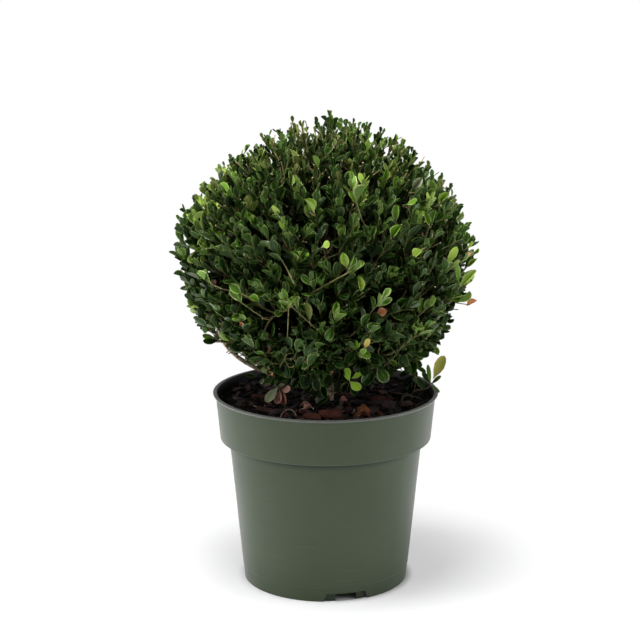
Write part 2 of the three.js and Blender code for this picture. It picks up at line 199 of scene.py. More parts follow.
# Makes one smooth mesh object of such a shape, creased where its faces meet at a sharp angle
def meshPiece(shape, creaseAngle=60):
    mesh = bpy.data.meshes.new("joined")
    mesh.vertices.add(len(shape["points"]))
    mesh.vertices.foreach_set("co", shape["points"].astype(np.float32).ravel())
    mesh.loops.add(shape["corners"].size)
    mesh.loops.foreach_set("vertex_index", shape["corners"].astype(np.int32).ravel())
    mesh.polygons.add(len(shape["corners"]))
    mesh.polygons.foreach_set("loop_start", np.arange(0, shape["corners"].size, 3, dtype=np.int32))
    mesh.polygons.foreach_set("material_index", shape["slots"].astype(np.int32))
    mesh.uv_layers.new(name="UVMap").data.foreach_set("uv", shape["uv"].astype(np.float32).ravel())
    mesh.update(calc_edges=True)
    mesh.validate()
    mesh.shade_smooth()
    mesh.set_sharp_from_angle(angle=math.radians(creaseAngle))
    obj = bpy.data.objects.new("joined", mesh)
    bpy.context.scene.collection.objects.link(obj)
    return obj


# Vector helpers for rows of vectors

def unit(rows):
    return rows / np.maximum(np.linalg.norm(rows, axis=-1, keepdims=True), 1e-12)


def mix(first, second, share):
    return first + (second - first) * share


def headingSlope(turn, lift):
    return np.stack([np.cos(lift) * np.cos(turn), np.cos(lift) * np.sin(turn), np.sin(lift)], axis=-1)


# Even headings on a golden-angle spiral over the whole ball
def evenHeadings(count):
    step = np.arange(count)
    return headingSlope(step * goldenAngle, np.arcsin(1 - 2 * (step + 0.5) / count))


# Turns whose columns are a copy's across, along and up directions
def turnsFrom(along, face):
    across = unit(np.cross(along, face))
    return np.stack([across, along, np.cross(across, along)], axis=-1)


# Materials

def addNode(tree, kind, inputs=None, **settings):
    node = tree.nodes.new(kind)
    for key, value in settings.items():
        setattr(node, key, value)
    for key, value in (inputs or {}).items():
        if isinstance(value, bpy.types.NodeSocket):
            tree.links.new(value, node.inputs[key])
        else:
            node.inputs[key].default_value = value
    return node


# A mix of two colours by a mask: inputs 6 and 7 of the Mix node are its colours
def mixColours(tree, mask, first, second):
    return addNode(tree, "ShaderNodeMix", {0: mask, 6: first, 7: second}, data_type="RGBA").outputs[2]


def mixNumbers(tree, share, first, second):
    return addNode(tree, "ShaderNodeMix", {0: share, 2: first, 3: second}).outputs[0]


def calculate(tree, operation, first, second=0.0):
    return addNode(tree, "ShaderNodeMath", {0: first, 1: second}, operation=operation).outputs[0]


def times(tree, first, second):
    return calculate(tree, "MULTIPLY", first, second)


def noise(tree, place, scale, detail, roughness=0.5):
    return addNode(tree, "ShaderNodeTexNoise", {
        "Vector": place, "Scale": scale, "Detail": detail, "Roughness": roughness}).outputs["Fac"]


def partsOf(tree, place):
    return addNode(tree, "ShaderNodeSeparateXYZ", {0: place}).outputs


def stretched(tree, place, scale):
    return addNode(tree, "ShaderNodeMapping", {"Vector": place, "Scale": scale}).outputs[0]


def lengthOf(tree, place):
    return addNode(tree, "ShaderNodeVectorMath", {0: place}, operation="LENGTH").outputs["Value"]


def rangeMask(tree, value, low, high):
    return addNode(tree, "ShaderNodeMapRange", {0: value, 1: low, 2: high}, clamp=True).outputs[0]


# 1 between two values, fading out over a soft width past each
def betweenMask(tree, value, low, high, soft):
    rising = rangeMask(tree, value, low - soft, low)
    return times(tree, rising, rangeMask(tree, value, high + soft, high))


# A group whose sockets are given by name and kind
def newGroup(name, inputs, outputs):
    group = bpy.data.node_groups.new(name, "ShaderNodeTree")
    for side, sockets in (("INPUT", inputs), ("OUTPUT", outputs)):
        for label, kind in sockets.items():
            group.interface.new_socket(name=label, in_out=side, socket_type="NodeSocket" + kind)
    ends = addNode(group, "NodeGroupInput").outputs, addNode(group, "NodeGroupOutput").inputs
    return group, *ends


# How the shared effects run: how soft the patches of tint are, the fine cells in the grain and its
# dark pits, and on a leaf's map the pale rim (partly a painted edge highlight), the side veins and how
# strongly each shows
driftShape = {"patches": (0.36, 0.64), "detail": 3.0}
grainShape = {"detail": 6.0, "cellScale": 3.7, "cellDepth": 0.3, "pits": (0.42, 0.3)}
leafMarkShape = {
    "marginAndHighlight": (0.40, 0.48), "marginShare": 0.85, "ribShare": 0.7, "veins": 52.0, "veinSlant": 34.0,
    "veinDepth": 0.18,
}


# Two tints that drift into each other in patches
def makeColourDrift():
    group, given, made = newGroup(
        "Colour Drift", {"Vector": "Vector", "Scale": "Float", "First": "Color", "Second": "Color"},
        {"Colour": "Color", "Mask": "Float"})
    patches = noise(group, given["Vector"], given["Scale"], driftShape["detail"])
    mask = rangeMask(group, patches, *driftShape["patches"])
    group.links.new(mixColours(group, mask, given["First"], given["Second"]), made["Colour"])
    group.links.new(mask, made["Mask"])
    return group


# Fine relief with a coarser swell in it, drawn out along one axis where the vector is stretched
def makeGrainRelief():
    group, given, made = newGroup(
        "Grain Relief", {"Vector": "Vector", "Scale": "Float"}, {"Height": "Float", "Pits": "Float"})
    coarse = noise(group, given["Vector"], given["Scale"], grainShape["detail"])
    finer = times(group, given["Scale"], grainShape["cellScale"])
    cells = addNode(group, "ShaderNodeTexVoronoi", {"Vector": given["Vector"], "Scale": finer})
    cellHeight = times(group, cells.outputs["Distance"], grainShape["cellDepth"])
    group.links.new(calculate(group, "ADD", coarse, cellHeight), made["Height"])
    group.links.new(rangeMask(group, coarse, *grainShape["pits"]), made["Pits"])
    return group


# The rib, the side veins and the thin pale rim of a leaf, on the leaf's own map. The rim is partly the leaf's
# paler edge and partly a painted highlight where the edge catches the light.
def makeLeafMarks():
    group, given, made = newGroup(
        "Leaf Marks",
        {"Map": "Vector", "Blade": "Color", "Rib": "Color", "Margin": "Color", "Rib Width": "Float"},
        {"Colour": "Color", "Height": "Float"})
    shape = leafMarkShape
    place = partsOf(group, given["Map"])
    fromRib = calculate(group, "ABSOLUTE", calculate(group, "SUBTRACT", place["X"], 0.5))
    onRib = rangeMask(group, fromRib, given["Rib Width"], 0.0)
    onMarginAndHighlight = rangeMask(group, fromRib, *shape["marginAndHighlight"])
    upLeaf = times(group, place["Y"], shape["veins"])
    slant = calculate(group, "SUBTRACT", upLeaf, times(group, fromRib, shape["veinSlant"]))
    veins = times(group, calculate(group, "SINE", slant), shape["veinDepth"])
    ribbed = mixColours(group, times(group, onRib, shape["ribShare"]), given["Blade"], given["Rib"])
    edged = mixColours(group, times(group, onMarginAndHighlight, shape["marginShare"]), ribbed, given["Margin"])
    group.links.new(edged, made["Colour"])
    group.links.new(calculate(group, "SUBTRACT", veins, onRib), made["Height"])
    return group


colourDrift = makeColourDrift()
grainRelief = makeGrainRelief()
leafMarks = makeLeafMarks()


def newMaterial(name, **constants):
    material = bpy.data.materials.new(name)
    material.use_nodes = True
    tree = material.node_tree
    shader = tree.nodes["Principled BSDF"]
    for key, value in constants.items():
        shader.inputs[key.replace("_", " ")].default_value = value
    return material, tree, shader, addNode(tree, "ShaderNodeTexCoord").outputs


def placeGroup(tree, group, inputs):
    return addNode(tree, "ShaderNodeGroup", inputs, node_tree=group).outputs


def placeDrift(tree, place, scale, first, second):
    return placeGroup(tree, colourDrift, {
        "Vector": place, "Scale": scale, "First": (*first, 1), "Second": (*second, 1)})


def addBump(tree, shader, height, depth, strength=1.0):
    bump = addNode(tree, "ShaderNodeBump", {"Height": height, "Distance": depth, "Strength": strength})
    tree.links.new(bump.outputs["Normal"], shader.inputs["Normal"])


# How dark a pit is beside the first tint, and how much of that shows
pitShape = {"tint": 0.3, "share": 0.75}


# A grainy natural surface in two tints: bark, wood, peat
def grainyMaterial(name, first, second, scale, relief, roughness, stretch=(1, 1, 1), driftScale=60.0):
    material, tree, shader, coords = newMaterial(name, Roughness=roughness, Specular_IOR_Level=0.25)
    drift = placeDrift(tree, coords["Object"], driftScale, first, second)
    drawn = stretched(tree, coords["Object"], stretch)
    grain = placeGroup(tree, grainRelief, {"Vector": drawn, "Scale": scale})
    dark = tuple(pitShape["tint"] * tint for tint in first)
    colour = mixColours(tree, times(tree, grain["Pits"], pitShape["share"]), drift["Colour"], (*dark, 1))
    tree.links.new(colour, shader.inputs["Base Color"])
    addBump(tree, shader, grain["Height"], relief)
    return material


# A leaf's face: two drifting tints, with its rib, veins and pale rim, the rim partly a painted edge
# highlight.
# Some kinds also glow a little, painted light that stands in for the light that comes through them.
def leafMaterial(name, tints, rib, marginAndHighlight, roughness, ribWidth, glow):
    material, tree, shader, coords = newMaterial(
        name, Roughness=roughness, Specular_IOR_Level=0.17, Emission_Strength=glow)
    drift = placeDrift(tree, coords["Object"], 48.0, *tints)
    marks = placeGroup(tree, leafMarks, {
        "Map": coords["UV"], "Blade": drift["Colour"], "Rib": (*rib, 1), "Margin": (*marginAndHighlight, 1),
        "Rib Width": ribWidth})
    tree.links.new(marks["Colour"], shader.inputs["Base Color"])
    # The glow is painted light, in the leaf's own colours
    if glow:
        tree.links.new(marks["Colour"], shader.inputs["Emission Color"])
    addBump(tree, shader, marks["Height"], 0.00025)
    return material


# Pot

potShape = {
    "height": 0.193, "rimRadius": 0.113, "bandFootRadius": 0.1059, "bandFootRound": 0.0007,
    "ledgeHeight": 0.1466, "neckRadius": 0.0971, "footBandRadius": 0.0843, "footBandHeight": 0.015,
    "footRadius": 0.0826, "footRingWidth": 0.0048, "wall": 0.002, "lipHeight": 0.003,
    "lipOverhang": 0.0029, "floorUnderside": 0.007, "floorThickness": 0.002, "steps": 144,
}
# The notches in the foot ring, the passage through each and the drain opening behind it
notchShape = {
    "count": 3, "firstHeading": -75.6, "inner": 0.070, "outer": 0.095, "width": 0.046, "topWidth": 0.040,
    "height": 0.0085, "depth": 0.0025, "passageReach": 0.010, "passageWidth": 0.021,
    "passageHeight": 0.0066, "drainInner": 0.054, "drainOuter": 0.073, "drainWidth": 0.012,
    "drainHeight": 0.015, "below": 0.002,
}
# Body tints and the tints of marks, among them painted shade under the ledge, under the lip, in the notches'
# recesses and on the inner wall above the soil (there with the soil's stain), and the tint of the lip's wear,
# which also paints a highlight along the band's lower edge
potTints = {
    "body": (0.036, 0.053, 0.025), "bodyPatch": (0.043, 0.061, 0.031), "wornAndHighlight": (0.075, 0.083, 0.067),
    "edge": (0.080, 0.086, 0.072), "scuff": (0.10, 0.12, 0.08), "paintedShade": (0.003, 0.005, 0.002),
    "paintedShadeAndStain": (0.006, 0.006, 0.005),
}
# Where each mark on the pot begins and is full: heights over its foot, radii, or depths into its wall
potMarks = {
    "scuffs": (0.17, 0.02), "ledgeShade": (0.1368, 0.1446), "ledgeLine": (0.1466, 0.1463),
    "lipShade": (0.1901, 0.1909), "lipWear": (0.1910, 0.1915), "lipOuter": (0.1098, 0.1102),
    "paleEdge": (0.1112, 0.1118), "bandEdgeHighlight": (0.1468, 0.1474), "notchShadeTop": (0.0092, 0.0086),
    "notchShadeBack": (0.0812, 0.0806), "innerWall": (0.0005, 0.0011), "insideShadeFoot": (0.179, 0.181),
}
# How strongly each mark shows, and how softly the two that lie between heights fade out
potMarkShares = {
    "scuffs": 0.55, "ledgeShade": 0.9, "notch": 0.4, "bandEdgeHighlight": 0.3, "lipShade": 0.8, "lipWear": 0.8,
    "paleEdge": 0.75, "edgeGloss": 0.5,
}
potMarkFades = {"lipShade": 0.0005, "bandEdgeHighlight": 0.0003}
potFinish = {
    "patchScale": 16.0, "streakScale": 22.0, "streakDraw": (1, 1, 14), "streaks": (0.6, 0.82),
    "speckScale": 900.0, "specks": (0.2, 0.75), "grainScale": 420.0, "grainDepth": 0.00012,
    "grainStrength": 0.6, "roughness": 0.42, "patchRoughness": 0.06, "scuffRoughness": 0.15,
    "ledgeShadeFall": 1.5, "sheen": 0.26, "crease": 32,
}
lipFoot = potShape["height"] - potShape["lipHeight"]
bandTop = potShape["rimRadius"] - potShape["lipOverhang"]
ledgeTop = potShape["ledgeHeight"] + potShape["wall"]


def potProfile():
    shape = potShape
    ringInner = shape["footRadius"] - shape["footRingWidth"]
    floorTop = shape["floorUnderside"] + shape["floorThickness"]
    wall = shape["wall"]
    step = 0.0006
    return roundedProfile([
        (0, shape["floorUnderside"], 0),
        (ringInner - step, shape["floorUnderside"], 0.001),
        (ringInner, 0, 0.0004),
        (shape["footRadius"], 0, 0.0003),
        (shape["footBandRadius"] - 0.0004, shape["footBandHeight"] - 0.0005, 0),
        (shape["footBandRadius"], shape["footBandHeight"], 0.0002),
        (shape["neckRadius"], shape["ledgeHeight"], 0.0010),
        (shape["bandFootRadius"], shape["ledgeHeight"], shape["bandFootRound"]),
        (bandTop, lipFoot, 0.0004),
        (shape["rimRadius"] - 0.0002, shape["height"] - 0.0012, 0.0004),
        (shape["rimRadius"], shape["height"], 0.0005),
        (bandTop - wall + step, shape["height"], 0.0010),
        (bandTop - wall, lipFoot, 0.0006),
        (shape["bandFootRadius"] - wall, ledgeTop, 0.001),
        (shape["neckRadius"] - wall, ledgeTop, 0.001),
        (shape["footBandRadius"] - wall - step, floorTop, 0.002),
        (0, floorTop, 0),
    ])


# Three blocks, one for each notch round the foot: their radii, their widths below and above, their
# height. They reach a little under the pot.
def notchBlocks(innerRadius, outerRadius, width, topWidth, height):
    below = notchShape["below"]
    blocks = []
    for i in range(notchShape["count"]):
        block = startShape(bpy.ops.mesh.primitive_cube_add, size=1)
        bpy.ops.transform.resize(value=(outerRadius - innerRadius, width, height + below))
        middle = (innerRadius + outerRadius) / 2
        bpy.ops.transform.translate(value=(middle, 0, (height - below) / 2))
        selectWhere(block, lambda place: place.z > 0)
        bpy.ops.transform.resize(value=(1, topWidth / width, 1), center_override=(0, 0, 0))
        editOff()
        block.rotation_euler.z = math.radians(notchShape["firstHeading"] + 360 / notchShape["count"] * i)
        blocks.append(block)
    deselectAll()
    for block in blocks:
        block.select_set(True)
    bpy.context.view_layer.objects.active = blocks[0]
    bpy.ops.object.join()
    bpy.ops.object.transform_apply(location=True, rotation=True, scale=True)
    return bpy.context.object


def cutAway(obj, cutter):
    modifier = obj.modifiers.new("cut", "BOOLEAN")
    modifier.operation = "DIFFERENCE"
    modifier.solver = "EXACT"
    modifier.object = cutter
    makeActive(obj)
    bpy.ops.object.modifier_apply(modifier=modifier.name)
    bpy.data.objects.remove(cutter)


# Matt olive plastic with a dusty sheen: faint patches and streaks, a lip with wear and a pale outer edge,
# scuffs low on the body, painted shade under the ledge, under the lip and in the notches, a painted highlight
# along the band's lower edge, and painted shade with the soil's stain on the inner wall above the soil
def potMaterial(name, sheen):
    material, tree, shader, coords = newMaterial(
        name, Specular_IOR_Level=0.25, Sheen_Weight=sheen, Sheen_Roughness=0.4, Coat_Roughness=0.2)
    place = coords["Object"]
    height = partsOf(tree, place)["Z"]
    fromAxis = lengthOf(tree, stretched(tree, place, (1, 1, 0)))

    def marked(value, mark):
        return rangeMask(tree, value, *potMarks[mark])

    def between(value, mark):
        return betweenMask(tree, value, *potMarks[mark], potMarkFades[mark])

    def shown(mask, mark):
        return times(tree, mask, potMarkShares[mark])

    finish = potFinish
    drift = placeDrift(tree, place, finish["patchScale"], potTints["body"], potTints["bodyPatch"])
    drawn = stretched(tree, place, finish["streakDraw"])
    streaks = rangeMask(tree, noise(tree, drawn, finish["streakScale"], 5.0, 0.65), *finish["streaks"])
    scuffed = times(tree, streaks, marked(height, "scuffs"))
    speckled = rangeMask(tree, noise(tree, place, finish["speckScale"], 2.0), *finish["specks"])
    # The inner wall above the soil is painted near black: painted shade from the crown over it, with the
    # soil's stain
    wallRadius = addNode(tree, "ShaderNodeMapRange", {
        0: height, 1: potShape["ledgeHeight"], 2: lipFoot, 3: potShape["bandFootRadius"], 4: bandTop,
    }, clamp=False).outputs[0]
    fromWall = calculate(tree, "SUBTRACT", wallRadius, fromAxis)
    inside = times(tree, marked(fromWall, "innerWall"), marked(height, "insideShadeFoot"))
    # Painted shade under the ledge, darkest just below it and fading downward, and a thin painted shadow
    # under the lip
    underLedge = times(tree, marked(height, "ledgeShade"), marked(height, "ledgeLine"))
    shadeFall = calculate(tree, "POWER", underLedge, finish["ledgeShadeFall"])
    underLip = between(height, "lipShade")
    onLip = marked(height, "lipWear")
    wornLip = times(tree, times(tree, onLip, speckled), marked(fromAxis, "lipOuter"))
    paleEdge = times(tree, onLip, marked(fromAxis, "paleEdge"))
    # A thin lighter line along the band's lower edge, in the tint of the lip's wear: a painted highlight
    # where the rounded edge catches the light
    bandEdgeHighlight = between(height, "bandEdgeHighlight")
    # Painted shade in the notches' recesses
    notch = times(tree, marked(height, "notchShadeTop"), marked(fromAxis, "notchShadeBack"))
    colour = drift["Colour"]
    for mask, tint in (
        (shown(scuffed, "scuffs"), "scuff"),
        (shown(shadeFall, "ledgeShade"), "paintedShade"),
        (shown(notch, "notch"), "paintedShade"),
        (shown(bandEdgeHighlight, "bandEdgeHighlight"), "wornAndHighlight"),
        (shown(underLip, "lipShade"), "paintedShade"),
        (shown(wornLip, "lipWear"), "wornAndHighlight"),
        (shown(paleEdge, "paleEdge"), "edge"),
        (inside, "paintedShadeAndStain"),
    ):
        colour = mixColours(tree, mask, colour, (*potTints[tint], 1))
    tree.links.new(colour, shader.inputs["Base Color"])
    tree.links.new(shown(paleEdge, "edgeGloss"), shader.inputs["Coat Weight"])
    patchy = times(tree, drift["Mask"], finish["patchRoughness"])
    rough = calculate(tree, "ADD", patchy, finish["roughness"])
    rougher = calculate(tree, "ADD", rough, times(tree, scuffed, finish["scuffRoughness"]))
    tree.links.new(rougher, shader.inputs["Roughness"])
    grain = placeGroup(tree, grainRelief, {"Vector": place, "Scale": finish["grainScale"]})
    addBump(tree, shader, grain["Height"], finish["grainDepth"], finish["grainStrength"])
    return material


# Whether a face is on the inside wall over the ledge, which has no dusty sheen, so that it stays dark as
# painted shade
def isInside(face):
    inward = face.normal.x * face.center.x + face.normal.y * face.center.y < -0.5 * bandTop
    return inward and face.center.z > ledgeTop


def makePot():
    shape = notchShape
    pot = turnedPiece(potProfile(), potShape["steps"])
    notch = notchBlocks(shape["inner"], shape["outer"], shape["width"], shape["topWidth"], shape["height"])
    deselectAll()
    foot = potShape["footRadius"]
    bpy.ops.mesh.primitive_cylinder_add(
        vertices=potShape["steps"], radius=foot - shape["depth"], depth=0.06)
    cutAway(notch, bpy.context.object)
    cutAway(pot, notch)
    half, passage = shape["passageReach"], shape["passageWidth"]
    cutAway(pot, notchBlocks(foot - half, foot + half, passage, passage, shape["passageHeight"]))
    inner, outer, drain = shape["drainInner"], shape["drainOuter"], shape["drainWidth"]
    cutAway(pot, notchBlocks(inner, outer, drain, drain, shape["drainHeight"]))
    for face in pot.data.polygons:
        face.material_index = int(isInside(face))
    makeActive(pot)
    bpy.ops.object.shade_smooth_by_angle(angle=math.radians(potFinish["crease"]))
    finishes = [potMaterial("potPlastic", potFinish["sheen"]), potMaterial("potInside", 0.0)]
    seatPiece(pot, "potShell", finishes, "pot", "pot")
    print("pot:", len(pot.data.polygons), "faces")


makePot()


# Soil

# Its relief is a row for each layer: grain size, height, and detail. It fades near the pot's wall.
soilShape = {
    "top": 0.184, "inset": 0.0029, "clearance": 0.0003, "swell": 0.0018, "topRings": 62, "steps": 300,
    "levelRadius": 0.024, "relief": ((0.011, 0.0040, 3), (0.0032, 0.0022, 2)), "fade": 0.006,
    "leastRelief": 0.1, "crease": 50,
}
chipShape = {
    "count": 430, "length": (0.005, 0.020), "width": (0.0020, 0.0080), "thickness": (0.0010, 0.0034),
    "shorter": (0.55, 1), "lift": (-0.0002, 0.0022), "tilt": 0.32, "edgeRoom": 0.008, "footRoom": 0.014,
    "brokenEdge": 0.13, "uneven": 0.17, "models": 4, "crease": 25, "shownLift": 0.0026,
}
crumbShape = {
    "count": 2600, "size": (0.0006, 0.0026), "tilt": 0.9, "edgeRoom": 0.0015, "footRoom": 0.004,
    "uneven": 0.35, "stretch": (0.7, 1.3), "models": 3, "crease": 40,
}
feet = np.array([(-0.004, 0.012), (0.006, -0.005), (0.076, -0.010), (-0.040, -0.030)])  # trunk and shoots


def topRadiusOfSoil():
    foot = potShape["bandFootRadius"]
    rise = (soilShape["top"] - ledgeTop) / (lipFoot - ledgeTop)
    return mix(foot, bandTop, rise) - soilShape["inset"] - soilShape["clearance"]


def fromFeet(x, y):
    return np.min([np.hypot(x - foot[0], y - foot[1]) for foot in feet], axis=0)


# The soil's height over its mean level, as in the frame's soil: low swells, level round each foot
def soilBump(x, y):
    swell = np.sin(x * 110 + 0.7) * np.cos(y * 90 - 0.4) + 0.5 * np.sin((x + y) * 170)
    away = np.clip((fromFeet(x, y) - soilShape["levelRadius"]) / soilShape["levelRadius"], 0, 1)
    return soilShape["swell"] * swell * away * away * (3 - 2 * away)


# Pushes a surface in and out by soft noise of a grain size, a height and a detail
def displaceBy(obj, size, strength, depth, group=None):
    texture = bpy.data.textures.new(obj.name + "Relief", "CLOUDS")
    texture.noise_scale = size
    texture.noise_depth = depth
    modifier = obj.modifiers.new("relief", "DISPLACE")
    modifier.texture = texture
    modifier.strength = strength
    modifier.mid_level = 0.5
    modifier.direction = "NORMAL"
    if group:
        modifier.vertex_group = group


def makeSoilBody(material):
    shape = potShape
    inset = soilShape["inset"]
    bottom = shape["floorUnderside"] + shape["floorThickness"] + soilShape["clearance"]
    edge = topRadiusOfSoil()
    profile = [
        (0, bottom),
        (shape["footBandRadius"] - inset - soilShape["clearance"], bottom),
        (shape["neckRadius"] - inset, ledgeTop + soilShape["clearance"]),
        (shape["bandFootRadius"] - inset, ledgeTop + soilShape["clearance"]),
    ]
    rings = soilShape["topRings"]
    profile += [(edge * (1 - ring / rings), soilShape["top"]) for ring in range(rings + 1)]
    soil = turnedPiece(profile, soilShape["steps"])
    top = soil.vertex_groups.new(name="top")
    for vert in soil.data.vertices:
        if vert.co.z < soilShape["top"] - 0.001:
            continue
        vert.co.z += soilBump(vert.co.x, vert.co.y)
        fromEdge = edge - math.hypot(vert.co.x, vert.co.y)
        share = min(1, soilShape["leastRelief"] + fromEdge / soilShape["fade"])
        top.add([vert.index], share, "REPLACE")
    for layer in soilShape["relief"]:
        displaceBy(soil, *layer, "top")
    applyModifiers(soil)
    bpy.ops.object.shade_smooth_by_angle(angle=math.radians(soilShape["crease"]))
    return seatPiece(soil, "soilBody", [material], "soil", "soil")


# How many of the scattered chips are grey, brown and mauve, and how many are red: the reddish ones lie
# mostly at the front and to the right
chipDraw = {
    "red": (0.12, 0.34), "mauve": (0.68, 0.82), "brown": 0.82, "grey": 0.96,
    "redFrom": (-0.06, 0.02), "redFade": 0.05,
}
# Chips that show one by one at the front: kind, place in millimetres over the soil, length, width and
# thickness, heading and tilt toward the front in degrees
shownChips = [
    ("chipRed", (6, -76, 2.5), (21, 9, 2.6), 3, 30),
    ("chipRust", (37, -61, 3.5), (9, 11, 3.0), 60, 55),
    ("chipRust", (32, -66, 3.0), (12, 2, 2.0), 50, 40),
    ("chipMauve", (46, -55, 3.0), (11, 8, 3.0), 20, 45),
    ("chipMauve", (62, -46, 4.0), (12, 10, 4.0), -10, 50),
    ("chipRed", (56, -24, 4.5), (22, 6, 2.4), -8, 20),
    ("chipMauve", (53, -35, 3.5), (18, 6, 2.6), 6, 30),
    ("chipMauve", (79, -39, 3.0), (12, 7, 2.4), 10, 30),
    ("chipGrey", (15, -36, 4.0), (3, 7, 2.5), 0, 70),
    ("chipGrey", (27, -64, 3.5), (5, 1.6, 1.6), 80, 60),
    ("chipRed", (-12, -80, 2.0), (16, 7, 2.4), -12, 30),
    ("chipBrown", (-58, -58, 2.0), (20, 6, 2.0), -18, 25),
    ("chipRed", (-64, -10, 3.0), (17, 5, 2.0), 8, 25),
    ("chipMauve", (-48, -66, 2.0), (13, 6, 2.0), 14, 30),
]


# A chip of bark: a slab with uneven corners and broken edges
def chipModel(seed):
    chip = startShape(bpy.ops.mesh.primitive_cube_add, size=1)
    bpy.ops.mesh.bevel(offset=chipShape["brokenEdge"], segments=1, affect="EDGES")
    bpy.ops.mesh.select_all(action="SELECT")
    bpy.ops.transform.vertex_random(offset=chipShape["uneven"], seed=seed)
    endShape()
    return takeModel(chip)


def crumbModel(seed):
    crumb = startShape(bpy.ops.mesh.primitive_ico_sphere_add, subdivisions=1, radius=1)
    bpy.ops.transform.vertex_random(offset=crumbShape["uneven"], seed=seed)
    editOff()
    return takeModel(crumb)


# Places spread evenly over the soil, with a little scatter, clear of the wall and of the plant's feet
def soilPlaces(random, shape):
    count = shape["count"]
    step = np.arange(count)
    far = np.sqrt((step + random.random(count)) / count) * (topRadiusOfSoil() - shape["edgeRoom"])
    turn = step * goldenAngle + random.normal(0, 0.3, count)
    x, y = far * np.cos(turn), far * np.sin(turn)
    keep = fromFeet(x, y) > shape["footRoom"]
    return x[keep], y[keep]


# Such places with their height, each lifted a little
def onSoil(x, y, lift):
    return np.stack([x, y, soilShape["top"] + soilBump(x, y) + lift], axis=-1)


# Turns for things that lie on the soil: any heading, with a tilt
def lyingTurns(random, count, tilt):
    along = headingSlope(random.random(count) * math.tau, random.normal(0, tilt, count))
    face = unit(upright + random.normal(0, tilt, (count, 3)))
    return turnsFrom(along, face)


# Copies of several models dealt out in turn, each with its kind as its material
def dealtCopies(models, places, turns, sizes, kinds):
    shapes = []
    for i, model in enumerate(models):
        chosen = np.arange(len(places)) % len(models) == i
        shape = copiesOf(model, places[chosen], turns[chosen], sizes[chosen])
        shape["slots"] = np.repeat(kinds[chosen], len(model["corners"]))
        shapes.append(shape)
    return joinedShapes(shapes)


# The kind of each scattered chip, as its row in the table of tints
def chipKinds(x, y, random):
    first, more = chipDraw["red"]
    rightOf, frontOf = chipDraw["redFrom"]
    fade = chipDraw["redFade"]
    front = np.clip((-y - frontOf) / fade, 0, 1) * np.clip((x - rightOf) / fade, 0, 1)
    draw = random.random(len(x))
    kinds = np.zeros(len(x), dtype=int)
    for chosen, kind in (
        (draw > chipDraw["brown"], "chipBrown"),
        (draw > chipDraw["grey"], "chipGrey"),
        (draw < first + more * front, "chipRed"),
        ((draw > chipDraw["mauve"][0]) & (draw < chipDraw["mauve"][1]), "chipMauve"),
    ):
        kinds[chosen] = list(chipTints).index(kind)
    return kinds


def makeChips(materials):
    random = np.random.default_rng(31)
    shape = chipShape
    x, y = soilPlaces(random, shape)
    count = len(x)
    length, width, thickness = (
        random.uniform(*shape[key], count) for key in ("length", "width", "thickness"))
    places = onSoil(x, y, random.uniform(*shape["lift"], count))
    turns = lyingTurns(random, count, shape["tilt"])
    sizes = np.stack([width, length * random.uniform(*shape["shorter"], count), thickness], axis=-1)
    kinds = chipKinds(x, y, random)
    shown = np.array([row[1] for row in shownChips]) / 1000
    heading, tilt = np.radians([row[3:] for row in shownChips]).T
    tiltedFace = np.stack([0 * tilt, -np.sin(tilt), np.cos(tilt)], axis=-1)
    flatAlong = headingSlope(heading, 0 * heading)
    shownAlong = unit(flatAlong - tiltedFace * np.sum(flatAlong * tiltedFace, axis=1, keepdims=True))
    shown[:, 2] += soilShape["top"] + soilBump(shown[:, 0], shown[:, 1]) + shape["shownLift"]
    places = np.concatenate([places, shown])
    turns = np.concatenate([turns, turnsFrom(shownAlong, tiltedFace)])
    sizes = np.concatenate([sizes, np.array([row[2] for row in shownChips])[:, [1, 0, 2]] / 1000])
    kinds = np.concatenate([kinds, [list(chipTints).index(row[0]) for row in shownChips]])
    models = [chipModel(seed) for seed in range(shape["models"])]
    chips = meshPiece(dealtCopies(models, places, turns, sizes, kinds), shape["crease"])
    seatPiece(chips, "barkChips", materials, "soil")


def makeCrumbs(material):
    random = np.random.default_rng(32)
    shape = crumbShape
    x, y = soilPlaces(random, shape)
    count = len(x)
    size = random.uniform(*shape["size"], count) * random.uniform(0.5, 1, count)
    places = onSoil(x, y, size * 0.2)
    turns = lyingTurns(random, count, shape["tilt"])
    sizes = size[:, None] * random.uniform(*shape["stretch"], (count, 3))
    models = [crumbModel(seed) for seed in range(shape["models"])]
    crumbs = dealtCopies(models, places, turns, sizes, np.zeros(count, dtype=int))
    seatPiece(meshPiece(crumbs, shape["crease"]), "peatCrumbs", [material], "soil")


peat = grainyMaterial("peat", (0.005, 0.0035, 0.0025), (0.013, 0.008, 0.006), 260.0, 0.0012, 0.95)
chipTints = {
    "chipDark": ((0.004, 0.003, 0.003), (0.016, 0.010, 0.009)),
    "chipRed": ((0.030, 0.009, 0.006), (0.105, 0.031, 0.019)),
    "chipGrey": ((0.030, 0.023, 0.019), (0.125, 0.100, 0.082)),
    "chipBrown": ((0.017, 0.008, 0.005), (0.052, 0.024, 0.015)),
    "chipMauve": ((0.017, 0.010, 0.010), (0.062, 0.038, 0.036)),
    "chipRust": ((0.090, 0.028, 0.011), (0.220, 0.072, 0.026)),
}
chipMaterials = [
    grainyMaterial(name, first, second, 300.0, 0.0006, 0.75, (1, 0.25, 1))
    for name, (first, second) in chipTints.items()
]
makeSoilBody(peat)
makeChips(chipMaterials)
makeCrumbs(peat)
print("soil, chips and crumbs made")


# Limbs: the curves are those of the frame

trunkShape = {
    "foot": (-0.004, 0.012), "height": 0.042, "lean": (0.003, -0.004), "flareRadius": 0.011,
    "radius": 0.0084, "forkRadius": 0.0072, "flareFade": 9, "sides": 16, "rings": 22, "relief": 0.0011,
}
crownShape = {
    "centre": (0, 0, 0.325), "across": 0.152, "above": 0.147, "below": 0.124,
    "coreAcross": 0.119, "coreAbove": 0.114, "coreBelow": 0.092, "lump": 0.022,
}
